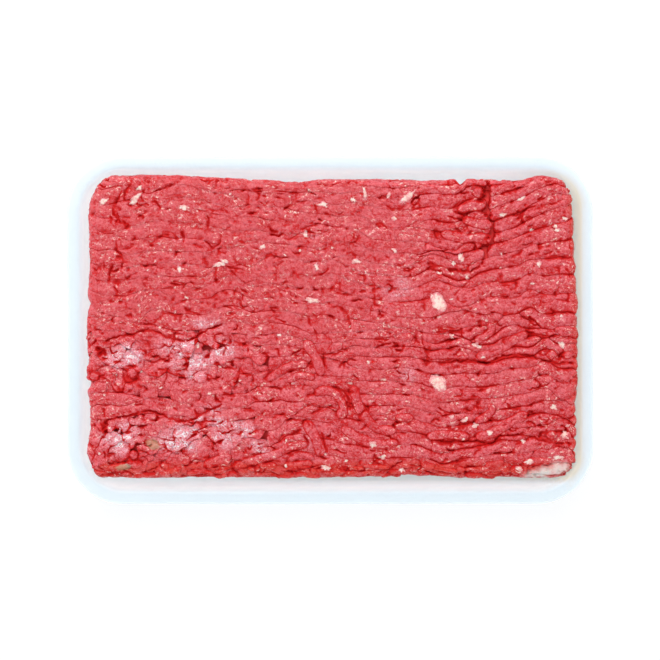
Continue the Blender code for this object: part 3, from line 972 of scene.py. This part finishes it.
# Bits of white fat: x, y, length, width, and the angle of the length in degrees.
FAT_BITS = (
    (43.2, 10.6, 7.6, 5.4, -50),
    (43.2, -21.3, 7.6, 5.4, -50),
    (31.2, 53.2, 7.9, 1.8, 41),
    (13.7, 54.6, 4.8, 1.2, -80),
    (9.1, 51.6, 2.0, 1.5, 0),
    (-2.5, 49.8, 4.0, 1.8, 10),
    (25.4, 44.2, 2.2, 1.9, 0),
    (-5.3, 24.9, 1.7, 2.6, 0),
    (10.3, 27.3, 4.5, 1.8, 5),
    (-6.5, 11.7, 6.0, 2.0, -5),
    (-77.4, 51.8, 6.0, 2.4, 50),
    (-89.5, 51.0, 3.0, 2.0, 30),
    (-57.5, 48.6, 3.6, 2.0, 0),
    (-43.9, 26.0, 5.0, 1.8, 10),
    (-59.7, 23.9, 1.5, 2.6, 0),
    (52.0, 28.4, 2.0, 4.4, 0),
    (48.9, 26.3, 1.8, 1.6, 0),
    (62.1, 43.2, 4.4, 1.4, 35),
    (68.3, 45.8, 3.0, 2.0, 10),
    (75.8, 52.0, 3.5, 1.2, 20),
    (80.0, 39.9, 1.8, 1.5, 0),
    (90.0, 39.5, 1.8, 1.5, 0),
    (93.2, 44.2, 2.0, 1.6, 0),
    (43.6, 22.5, 2.6, 1.5, 0),
    (48.3, -2.5, 1.8, 1.6, 0),
    (57.8, -6.0, 2.8, 2.2, 20),
    (48.3, -34.4, 1.8, 1.6, 0),
    (57.8, -37.9, 2.8, 2.2, 20),
    (83.1, 26.1, 1.8, 2.8, 0),
    (-1.7, -54.5, 3.4, 2.6, 0),
    (16.9, -45.3, 3.0, 2.8, 0),
    (21.0, -50.3, 4.0, 2.0, 20),
    (28.5, -55.6, 2.6, 1.8, 0),
    (79.2, -52.3, 4.0, 2.0, 10),
    (90.2, -50.7, 4.0, 1.5, 15),
    (93.2, -41.6, 3.0, 2.5, 0),
    (88.7, -30.6, 3.0, 2.0, 0),
    (76.8, -44.4, 2.0, 1.6, 0),
    (63.4, -40.7, 2.5, 1.8, 0),
)
SMALL_FAT_BITS = 60
FAT_SINK = 4.0  # below the skin, where no bit lies
ABOVE = 60.0  # clear of the whole pack
FAT_SHARES = np.array([0.25, 0.5, 0.72, 0.88, 1.0])  # of a bit's radius, at its rings
FAT_TURNS = np.linspace(0, 2 * np.pi, 32, endpoint=False)


def find_top(pieces):
    """The height of the meat's surface straight under any place, in millimetres."""
    trees = []
    for piece in pieces:
        points = [vertex.co / MM for vertex in piece.data.vertices]
        trees.append(BVHTree.FromPolygons(points, [face.vertices for face in piece.data.polygons]))

    def top(x, y):
        start, down = Vector((x, y, ABOVE)), Vector((0.0, 0.0, -1.0))
        hits = [tree.ray_cast(start, down)[0] for tree in trees]
        return max((hit.z for hit in hits if hit is not None), default=None)

    return top


def lay_fat_bit(bit, top, gathered):
    """One flat, ragged bit of fat that lies in the meat's surface: its points, faces and rim."""
    x, y, length, width, degrees = bit
    angle, seed = math.radians(degrees), rng.uniform(0, 999)
    cos, sin, count = np.cos(FAT_TURNS), np.sin(FAT_TURNS), len(FAT_TURNS)
    size = math.sqrt(length * width)
    unevenness = min(1.0, 3.6 / size)
    ragged = 0.50 * noise(1.4 * cos, 1.4 * sin, seed, seed=81)
    ragged = ragged + 0.38 * noise(3.5 * cos, 3.5 * sin, seed, seed=82)
    ragged = 1.1 + unevenness * ragged
    across = np.append(0.0, FAT_SHARES[:, None] * (length / 2 * ragged * cos))
    along = np.append(0.0, FAT_SHARES[:, None] * (width / 2 * ragged * sin))
    px = x + across * math.cos(angle) - along * math.sin(angle)
    py = y + across * math.sin(angle) + along * math.cos(angle)
    under = [top(float(a), float(b)) for a, b in zip(px, py)]
    if any(height is None or height < SKIN_HEIGHT - FAT_SINK for height in under):
        return
    under = np.array(under)
    dome = np.append(1.0, np.repeat((1 - FAT_SHARES**3) ** 0.5, count))
    level = 0.65 * under + 0.35 * np.median(under)
    pz = level + (0.05 * size + 0.16) * dome - 0.10 + 0.10 * noise(px / 0.8, py / 0.8, seed=83) * dome
    start = sum(len(bit[0]) for bit in gathered)
    here, after, here_next, after_next = ring_corners(count, len(FAT_SHARES), start + 1)
    faces = fan(start, start + 1, count)
    faces += np.stack([here, here_next, after_next, after], -1).reshape(-1, 4).tolist()
    base = np.full(count, start + len(px))
    faces += np.stack([here_next[-1], base, after_next[-1]], -1).tolist()
    points = np.column_stack([np.append(px, x), np.append(py, y), np.append(pz, under.min() - 0.8)])
    rim_share = np.concatenate([[0.0], np.repeat(FAT_SHARES, count), [1.0]])
    gathered.append((points, faces, rim_share))


def make_fat_bits(material, pieces):
    top = find_top(pieces)
    gathered = []
    for bit in FAT_BITS:
        lay_fat_bit(bit, top, gathered)
    for _ in range(SMALL_FAT_BITS):
        x, y = (rng.uniform(MEAT_LOW[axis] + 4, MEAT_HIGH[axis] - 4) for axis in (0, 1))
        length = min(0.9 + rng.gamma(1.6, 0.45), 3.2)
        lay_fat_bit((x, y, length, length * rng.uniform(0.45, 0.9), rng.normal(0, 35)), top, gathered)
    points, rim = (np.concatenate([bit[place] for bit in gathered]) for place in (0, 2))
    faces = [face for bit in gathered for face in bit[1]]
    return make_piece("fat_bits", points, faces, {"rim": rim}, material)


def make_core(material):
    """The smaller core under the strands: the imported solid, shrunk."""
    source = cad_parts["ground_meat"].data
    mesh = source.copy()
    mesh.materials.clear()
    work = bmesh.new()
    work.from_mesh(mesh)
    bmesh.ops.remove_doubles(work, verts=work.verts[:], dist=WELD * MM)
    bmesh.ops.recalc_face_normals(work, faces=work.faces[:])
    work.normal_update()
    for vertex in work.verts:
        vertex.co -= vertex.normal * CORE_COVER * MM
    work.to_mesh(mesh)
    work.free()
    return add_piece("meat_core", mesh, material)


# ---- Tray ----

FLAT_MARGIN = 20.0  # by which the first and last loop lie inside the recess's edge and the floor's
WALL_STEPS = 10
CORNER_STEPS = 20
SIDE_STEPS = (36, 24)
MEAT_SHADOW_BAND = (0.8, 3.2)  # beside the meat, where its painted shadow, warm with its red bounce, falls on the wall
LEFT_SHADOW_SHARE = 0.1  # of the painted shadow on the right
NEAR_SHADOW_SHARE = 0.75


def arc(centre, radius, start, end, steps):
    """Points of a section's arc, in degrees from the direction in which the inset grows."""
    angles = np.radians(np.linspace(start, end, steps + 1))
    return [(centre[0] + radius * math.cos(a), centre[1] + radius * math.sin(a)) for a in angles]


def tray_section():
    """The tray's wall as (inset from the rim's outer edge, height), from under the foot to the floor."""
    slope = math.degrees(WALL_SLOPE)
    shift = WALL_THICKNESS / math.sin(WALL_SLOPE)
    outer_top = RIM_FLAT - shift
    outer_foot = outer_top + RIM_HEIGHT / math.tan(WALL_SLOPE)
    half_turn = math.tan(WALL_SLOPE / 2)
    foot_start = outer_foot + FOOT_FILLET * half_turn
    under_rim = RIM_HEIGHT - RIM_THICKNESS
    outer_at_rim = outer_top + RIM_THICKNESS / math.tan(WALL_SLOPE)
    recess_start = foot_start + FOOT_BAND
    section = [(recess_start + FLAT_MARGIN, UNDER_RECESS), (recess_start + 2 * UNDER_RECESS, UNDER_RECESS)]
    section += [(recess_start, 0.0)]
    section += arc((foot_start, FOOT_FILLET), FOOT_FILLET, -90, -90 - slope, 8)
    section += [(outer_at_rim, under_rim)]
    section += arc((RIM_EDGE_RADIUS, under_rim + RIM_EDGE_RADIUS), RIM_EDGE_RADIUS, -90, -180, 4)
    section += arc((RIM_EDGE_RADIUS, RIM_HEIGHT - RIM_EDGE_RADIUS), RIM_EDGE_RADIUS, 180, 90, 5)
    turn_centre = (RIM_FLAT - RIM_TURN_RADIUS * half_turn, RIM_HEIGHT - RIM_TURN_RADIUS)
    section += arc(turn_centre, RIM_TURN_RADIUS, 90, 90 - slope, 5)
    floor_centre = (RIM_FLAT + WALL_RUN + FLOOR_FILLET * half_turn, FLOOR_THICKNESS + FLOOR_FILLET)
    floor_turn = arc(floor_centre, FLOOR_FILLET, -90 - slope, -90, 8)
    wall_top, wall_foot = np.array(section[-1]), np.array(floor_turn[0])
    rise = wall_foot - wall_top
    section += [tuple(wall_top + rise * step / WALL_STEPS) for step in range(1, WALL_STEPS)]
    return section + floor_turn + [(floor_centre[0] + FLAT_MARGIN, FLOOR_THICKNESS)]


def tray_loop(inset):
    """One loop round the tray, inset from the rim's outer edge."""
    radius = max(RIM_RADIUS - CORNER_TIGHTENING * inset, SMALLEST_RADIUS)
    half_x, half_y = TRAY_HIGH[0] - inset - radius, TRAY_HIGH[1] - inset - radius
    centres = ((-half_x, -half_y), (half_x, -half_y), (half_x, half_y), (-half_x, half_y))
    points = []
    for corner, (cx, cy) in enumerate(centres):
        angles = np.radians(180 + 90 * corner + np.linspace(0, 90, CORNER_STEPS + 1))
        turn = np.stack([cx + radius * np.cos(angles), cy + radius * np.sin(angles)], -1)
        after = centres[(corner + 1) % 4]
        steps = SIDE_STEPS[corner % 2]
        share = np.arange(1, steps)[:, None] / steps
        out = radius * np.array([math.cos(angles[-1]), math.sin(angles[-1])])
        side = (np.array([cx, cy]) + out) * (1 - share) + (np.array(after) + out) * share
        points += [turn, side]
    return np.concatenate(points)


def make_tray(material):
    """The tray as loops round it, with where its walls get painted light, and where the meat's painted
    shadow falls on them.
    """
    section = tray_section()
    outermost = min(range(len(section)), key=lambda number: section[number][0])
    loops, meat_shadow, wall = [], [], []
    for number, (inset, height) in enumerate(section):
        loop = tray_loop(inset)
        sway = 0.16 * noise(loop[:, 0] / 38, loop[:, 1] / 38, 3.3, seed=71)
        raised = smooth(0, RIM_HEIGHT, height)
        z = height + 0.22 * raised * noise(loop[:, 0] / 45, loop[:, 1] / 45, 7.7, seed=72)
        away = loop / np.hypot(*loop.T)[:, None]
        loop = loop + away * (sway * raised)[:, None]
        loops.append(np.column_stack([loop, z]))
        # Painted light: the inner walls and floor are painted lighter than the rim and outside, the far
        # wall most.
        down = smooth(RIM_FLAT - 1, RIM_FLAT + 3, inset)
        wall.append(down * (0.85 + 0.15 * smooth(20, 60, loop[:, 1])))
        # Painted shadow of the meat, warm with its red bounce, on the wall beside it: most on the right and
        # near walls, little on the left.
        rightwards = NEAR_SHADOW_SHARE + (1 - NEAR_SHADOW_SHARE) * smooth(50, 85, loop[:, 0])
        beside = smooth(-30, 30, loop[:, 0] - loop[:, 1] - 20) * rightwards
        by_meat = (number > outermost) * (1 - smooth(*MEAT_SHADOW_BAND, from_edge(*loop.T)[0]))
        meat_shadow.append(by_meat * (LEFT_SHADOW_SHARE + (1 - LEFT_SHADOW_SHARE) * beside))
    here, after, here_next, after_next = ring_corners(len(loops[0]), len(loops))
    faces = np.stack([here, after, after_next, here_next], -1).reshape(-1, 4).tolist()
    faces += [here[0][::-1].tolist(), here_next[-1].tolist()]
    values = {"meat_shadow": np.concatenate(meat_shadow), "wall": np.concatenate(wall)}
    return make_piece("foam_tray", np.concatenate(loops), faces, values, material)


# ---- Materials ----


class Shader:
    """A material's nodes, added and linked one at a time."""

    def __init__(self, name):
        self.material = bpy.data.materials.new(name)
        self.material.use_nodes = True
        self.nodes = self.material.node_tree.nodes
        self.links = self.material.node_tree.links
        self.surface = self.nodes["Principled BSDF"]

    def feed(self, socket, value):
        """Links a socket to another node's, or sets it. None leaves it as it is."""
        if isinstance(value, bpy.types.NodeSocket):
            self.links.new(value, socket)
        elif value is not None:
            socket.default_value = value

    def set(self, **values):
        """Sets the shader's own sockets, named with _ for a space."""
        for name, value in values.items():
            self.feed(self.surface.inputs[name.replace("_", " ")], value)

    def node(self, kind, inputs=None, output=0, **settings):
        made = self.nodes.new("ShaderNode" + kind)
        for name, value in settings.items():
            setattr(made, name, value)
        for name, value in (inputs or {}).items():
            self.feed(made.inputs[name], value)
        return made.outputs[output]

    def place(self):
        return self.node("TexCoord", output="Object")

    def value(self, name, output="Fac"):
        return self.node("Attribute", output=output, attribute_name=name)

    def scaled(self, vector, factors):
        return self.node("VectorMath", {0: vector, 1: factors}, operation="MULTIPLY")

    def parts(self, vector):
        return self.node("SeparateXYZ", {"Vector": vector}).node.outputs

    def noise(self, vector, scale, detail=2.0, roughness=0.5, distortion=0.0):
        inputs = {"Vector": vector, "Scale": scale, "Detail": detail, "Roughness": roughness}
        inputs["Distortion"] = distortion
        return self.node("TexNoise", inputs)

    def ramp(self, value, low, high, to_low=0.0, to_high=1.0):
        inputs = {"Value": value, "From Min": low, "From Max": high, "To Min": to_low, "To Max": to_high}
        return self.node("MapRange", inputs, interpolation_type="SMOOTHSTEP")

    def math(self, operation, a, b=None):
        return self.node("Math", {0: a, 1: b}, operation=operation)

    def times(self, a, b):
        return self.math("MULTIPLY", a, b)

    def mix(self, factor, a, b):
        return self.node("Mix", {0: factor, 6: a, 7: b}, output=2, data_type="RGBA")

    def bump(self, height, strength, distance, normal=None):
        inputs = {"Height": height, "Strength": strength, "Distance": distance, "Normal": normal}
        return self.node("Bump", inputs)


def rgb(red, green, blue):
    return (red, green, blue, 1.0)


LEAN = rgb(0.69, 0.067, 0.086)
LEAN_DARK = rgb(0.61, 0.025, 0.032)
LEAN_PALE = rgb(0.84, 0.195, 0.230)
SIDE_SHADE_RED = rgb(0.69, 0.032, 0.018)
DARK_RED_AND_CREASE_SHADE = rgb(0.65, 0.018, 0.018)
DEEP_CREASE_SHADE = rgb(0.47, 0.007, 0.008)
CORE_RED = rgb(0.74, 0.035, 0.035)
FAT_AND_SHEEN_PINK = rgb(0.82, 0.36, 0.42)
FAT_AND_GLINT_WHITE = rgb(0.92, 0.80, 0.82)
FAT = rgb(0.97, 0.71, 0.62)
PINK_FAT = rgb(0.86, 0.36, 0.35)
TAN = rgb(0.60, 0.31, 0.20)
PALE = rgb(0.82, 0.69, 0.65)
COOL_WHITE = rgb(0.37, 0.51, 0.69)
COOL_WHITE_PALE = rgb(0.39, 0.525, 0.705)
PAINTED_WALL_LIGHT = rgb(0.97, 0.998, 1.0)
MEAT_SHADOW_TINT = rgb(0.50, 0.41, 0.24)


def meat_material():
    """Moist lean meat with pale flecks, with painted shade, a deeper red, in its creases and on the block's
    near and right sides, and painted sheen over its smeared fat.
    """
    shade = Shader("raw_meat")
    place = shade.place()
    flow = shade.scaled(shade.value("flow", "Vector"), (0.5, 1.0, 1.0))
    level = shade.scaled(place, (0.5, 1.0, 1.0))
    broad = shade.noise(place, 160.0, 3.0)
    streaks = shade.noise(flow, 0.85, 4.0, 0.65, 0.3)
    fine = shade.noise(place, 800.0, 4.0, 0.8)
    grains = shade.noise(place, 1700.0, 2.0, 0.7)
    colour = shade.mix(shade.ramp(broad, 0.34, 0.60), LEAN_DARK, LEAN)
    colour = shade.mix(shade.ramp(streaks, 0.50, 0.70, 0.0, 0.5), colour, LEAN_PALE)
    colour = shade.mix(shade.ramp(fine, 0.50, 0.62, 0.0, 0.65), colour, LEAN_PALE)
    colour = shade.mix(shade.ramp(fine, 0.47, 0.36, 0.0, 0.75), colour, LEAN_DARK)
    colour = shade.mix(shade.ramp(grains, 0.54, 0.66, 0.0, 0.6), colour, LEAN_PALE)
    colour = shade.mix(shade.ramp(grains, 0.45, 0.33, 0.0, 0.6), colour, DARK_RED_AND_CREASE_SHADE)
    # The merged strands of the far left quarter are a little redder.
    x, y, _ = shade.parts(place)
    redder = shade.times(shade.ramp(x, 0.05, -0.03), shade.ramp(y, -0.01, 0.01))
    colour = shade.mix(shade.times(redder, 0.30), colour, LEAN_DARK)
    # Thin broken creases, a small bump darkened with painted crease shade: where a drawn-out noise passes
    # its middle value.
    crack = 0.0
    for scale, width, rarity in ((330.0, 0.020, 0.50), (190.0, 0.016, 0.48)):
        winding = shade.noise(level, scale, 3.0, 0.6, 0.4)
        off = shade.math("ABSOLUTE", shade.math("SUBTRACT", winding, 0.5))
        broken = shade.ramp(shade.noise(place, 0.7 * scale, 2.0), rarity, rarity + 0.06)
        thin = shade.ramp(off, width, 0.3 * width)
        crack = shade.math("MAXIMUM", shade.times(thin, broken), crack)
    # Painted shade: in patches, the block's near and right sides, turned from the light, are a more
    # saturated red.
    patchy = shade.ramp(shade.noise(level, 420.0, 3.0, 0.6), 0.42, 0.56, 0.55, 1.0)
    colour = shade.mix(shade.times(shade.value("side"), patchy), colour, SIDE_SHADE_RED)
    # Painted shade: a deeper, more saturated red down the creases, darkest in the deepest, and along the
    # thin cracks.
    deep = shade.math("ADD", shade.value("deep"), shade.ramp(fine, 0.3, 0.7, 0.06, -0.06))
    colour = shade.mix(shade.ramp(deep, 0.11, 0.38), colour, DARK_RED_AND_CREASE_SHADE)
    colour = shade.mix(shade.ramp(deep, 0.34, 0.80), colour, DEEP_CREASE_SHADE)
    colour = shade.mix(shade.times(crack, 0.9), colour, DARK_RED_AND_CREASE_SHADE)
    open_top = shade.ramp(deep, 0.40, 0.10)
    # Ragged flecks of fat, drawn out along the strands, in clusters.
    drawn_out = shade.scaled(shade.value("flow", "Vector"), (0.75, 1.0, 1.0))
    fat = shade.noise(drawn_out, 0.95, 4.0, 0.7, 0.6)
    clusters = shade.noise(place, 110.0, 2.0)
    pink = shade.times(shade.ramp(fat, 0.54, 0.62), shade.ramp(clusters, 0.43, 0.54))
    colour = shade.mix(shade.times(shade.times(pink, 0.8), open_top), colour, PINK_FAT)
    white = shade.times(shade.ramp(fat, 0.61, 0.67), shade.ramp(clusters, 0.48, 0.57))
    colour = shade.mix(shade.times(white, open_top), colour, FAT)
    # Smeared fat with a painted sheen over it, and painted white glints in its specks.
    smear_and_sheen, sinew, smeared = shade.parts(shade.value("stains_and_sheen", "Vector"))
    fat_and_sheen = shade.times(smear_and_sheen, shade.ramp(grains, 0.34, 0.62, 0.3, 1.0))
    fat_and_sheen = shade.times(fat_and_sheen, open_top)
    colour = shade.mix(shade.ramp(fat_and_sheen, 0.0, 0.9, 0.0, 0.9), colour, FAT_AND_SHEEN_PINK)
    specks = shade.ramp(shade.noise(place, 620.0, 3.0, 0.7), 0.46, 0.58, 0.35, 1.5)
    colour = shade.mix(shade.ramp(shade.times(fat_and_sheen, specks), 0.55, 1.3), colour, FAT_AND_GLINT_WHITE)
    colour = shade.mix(shade.times(shade.ramp(sinew, 0.3, 0.8), 0.8), colour, TAN)
    smear = shade.math("ADD", smeared, shade.ramp(fine, 0.3, 0.7, -0.06, 0.06))
    colour = shade.mix(shade.ramp(smear, 0.15, 1.15), colour, PALE)
    grain = shade.bump(grains, 0.6, 0.0005)
    lumps = shade.bump(shade.noise(place, 420.0, 3.0, 0.55), 0.6, 0.0008, grain)
    split = shade.bump(shade.times(crack, -1.0), 0.5, 0.0005, lumps)
    shade.set(Base_Color=colour, Roughness=shade.ramp(fine, 0.3, 0.7, 0.22, 0.38), Normal=split)
    shade.set(Subsurface_Weight=0.5, Subsurface_Radius=(1.0, 0.14, 0.11), Subsurface_Scale=0.0012)
    hidden = shade.math("MAXIMUM", deep, shade.times(crack, 3.0))
    shade.set(Specular_IOR_Level=shade.ramp(hidden, 0.03, 0.36, 0.5, 0.04))
    return shade.material


def fat_material():
    """White fat, pinker in patches and towards its ragged rim."""
    shade = Shader("white_fat")
    place = shade.place()
    patches = shade.noise(place, 700.0, 3.0, 0.6)
    fine = shade.noise(place, 1500.0, 3.0, 0.7)
    colour = shade.mix(shade.ramp(patches, 0.44, 0.66), FAT, PINK_FAT)
    rim = shade.math("ADD", shade.value("rim"), shade.ramp(fine, 0.3, 0.7, -0.35, 0.35))
    colour = shade.mix(shade.ramp(rim, 0.55, 1.0), colour, LEAN_PALE)
    bumps = shade.bump(shade.noise(place, 1100.0, 2.0), 0.5, 0.0005)
    shade.set(Base_Color=colour, Roughness=0.38, Normal=bumps)
    shade.set(Subsurface_Weight=0.4, Subsurface_Radius=(1.0, 0.45, 0.35), Subsurface_Scale=0.0010)
    return shade.material


def core_material():
    """The plain red meat that shows down in the holes."""
    shade = Shader("deep_meat")
    mottle = shade.noise(shade.place(), 300.0, 3.0)
    colour = shade.mix(shade.ramp(mottle, 0.35, 0.65), DARK_RED_AND_CREASE_SHADE, CORE_RED)
    bumps = shade.bump(shade.noise(shade.place(), 700.0, 3.0), 0.5, 0.0008)
    shade.set(Base_Color=colour, Roughness=0.6, Specular_IOR_Level=0.3, Normal=bumps)
    return shade.material


def foam_material():
    """The slightly cool white skin of foamed plastic, with fine cells, painted lighter on its inner walls,
    and with the meat's painted shadow, warm with its red bounce, beside it.
    """
    shade = Shader("white_foam")
    place = shade.place()
    cells = shade.node("TexVoronoi", {"Vector": place, "Scale": 900.0}, output="Distance")
    soft = shade.noise(place, 120.0, 3.0)
    colour = shade.mix(soft, COOL_WHITE, COOL_WHITE_PALE)
    # Painted light: lighter on the inner walls, the far one most.
    colour = shade.mix(shade.value("wall"), colour, PAINTED_WALL_LIGHT)
    # Painted shadow of the meat, warm with its red bounce, on the walls beside it; it thins the subsurface
    # light there too.
    meat_shadow = shade.value("meat_shadow")
    colour = shade.mix(meat_shadow, colour, MEAT_SHADOW_TINT)
    bumps = shade.bump(cells, 0.12, 0.0003)
    bumps = shade.bump(soft, 0.15, 0.0008, bumps)
    shade.set(Base_Color=colour, Roughness=shade.ramp(soft, 0.3, 0.7, 0.42, 0.55), Normal=bumps)
    shade.set(Subsurface_Weight=shade.ramp(meat_shadow, 0.0, 1.0, 1.0, 0.8))
    shade.set(Subsurface_Radius=(0.78, 0.94, 1.06), Subsurface_Scale=0.048)
    return shade.material


# ---- Studio ----

CAMERA_DISTANCE = 0.621  # above the rim
FIELD_WIDTH = 0.263  # seen at the rim's height
SENSOR = 36.0
FLOOR_HALF = 2.0
FLOOR_DROP = 0.0002  # under the tray, so that the two don't share a plane


def add_light(name, size, power, location):
    """A round soft light that faces the middle of the pack."""
    data = bpy.data.lights.new(name, "AREA")
    data.shape = "DISK"
    data.size = size
    data.energy = power
    light = bpy.data.objects.new(name, data)
    light.location = location
    light.rotation_euler = (-light.location).to_track_quat("-Z", "Y").to_euler()
    bpy.context.scene.collection.objects.link(light)


def make_surround():
    """White walls all round, brighter near the table than overhead."""
    world = bpy.data.worlds.new("studio")
    world.use_nodes = True
    nodes, links = world.node_tree.nodes, world.node_tree.links
    background = nodes["Background"].inputs
    background["Color"].default_value = rgb(0.97, 0.985, 1.0)
    height = nodes.new("ShaderNodeSeparateXYZ")
    links.new(nodes.new("ShaderNodeTexCoord").outputs["Generated"], height.inputs[0])
    strength = nodes.new("ShaderNodeMapRange")
    for name, value in {"From Min": 0.0, "From Max": 0.3, "To Min": 3.0, "To Max": 0.5}.items():
        strength.inputs[name].default_value = value
    links.new(height.outputs["Z"], strength.inputs["Value"])
    links.new(strength.outputs["Result"], background["Strength"])
    return world


def make_studio():
    shade = Shader("floor")
    tint = shade.noise(shade.place(), 3.0)
    shade.set(Base_Color=shade.mix(tint, rgb(0.25, 0.25, 0.25), rgb(0.26, 0.26, 0.26)), Roughness=0.9)
    shade.set(Emission_Color=rgb(1, 1, 1), Emission_Strength=0.80)
    mesh = bpy.data.meshes.new("floor")
    corners = [(x * FLOOR_HALF, y * FLOOR_HALF, 0) for x, y in ((-1, -1), (1, -1), (1, 1), (-1, 1))]
    mesh.from_pydata(corners, [], [(0, 1, 2, 3)])
    mesh.materials.append(shade.material)
    floor = bpy.data.objects.new("floor", mesh)
    floor.location.z = -FLOOR_DROP
    bpy.context.scene.collection.objects.link(floor)

    bpy.context.scene.world = make_surround()
    add_light("softbox", 0.90, 4.2, (-0.08, 0.47, 0.96))
    add_light("fill", 0.60, 0.7, (0.05, -0.75, 0.55))
    add_light("spark", 0.16, 3.2, (-0.35, 0.60, 0.80))
    bpy.context.scene.view_settings.view_transform = "Standard"


def make_camera():
    data = bpy.data.cameras.new("camera")
    data.sensor_width = SENSOR
    data.lens = SENSOR * CAMERA_DISTANCE / FIELD_WIDTH
    data.clip_start = 0.01
    camera = bpy.data.objects.new("camera", data)
    camera.location = (0.0, 0.0, RIM_HEIGHT * MM + CAMERA_DISTANCE)
    bpy.context.scene.collection.objects.link(camera)
    bpy.context.scene.camera = camera


make_camera()
make_studio()
tray = make_tray(foam_material())
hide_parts("tray")
meat = meat_material()
strands = make_strands(meat)
fat = make_fat_bits(fat_material(), strands)
for piece in [make_core(core_material()), fat] + strands:
    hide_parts("ground_meat")
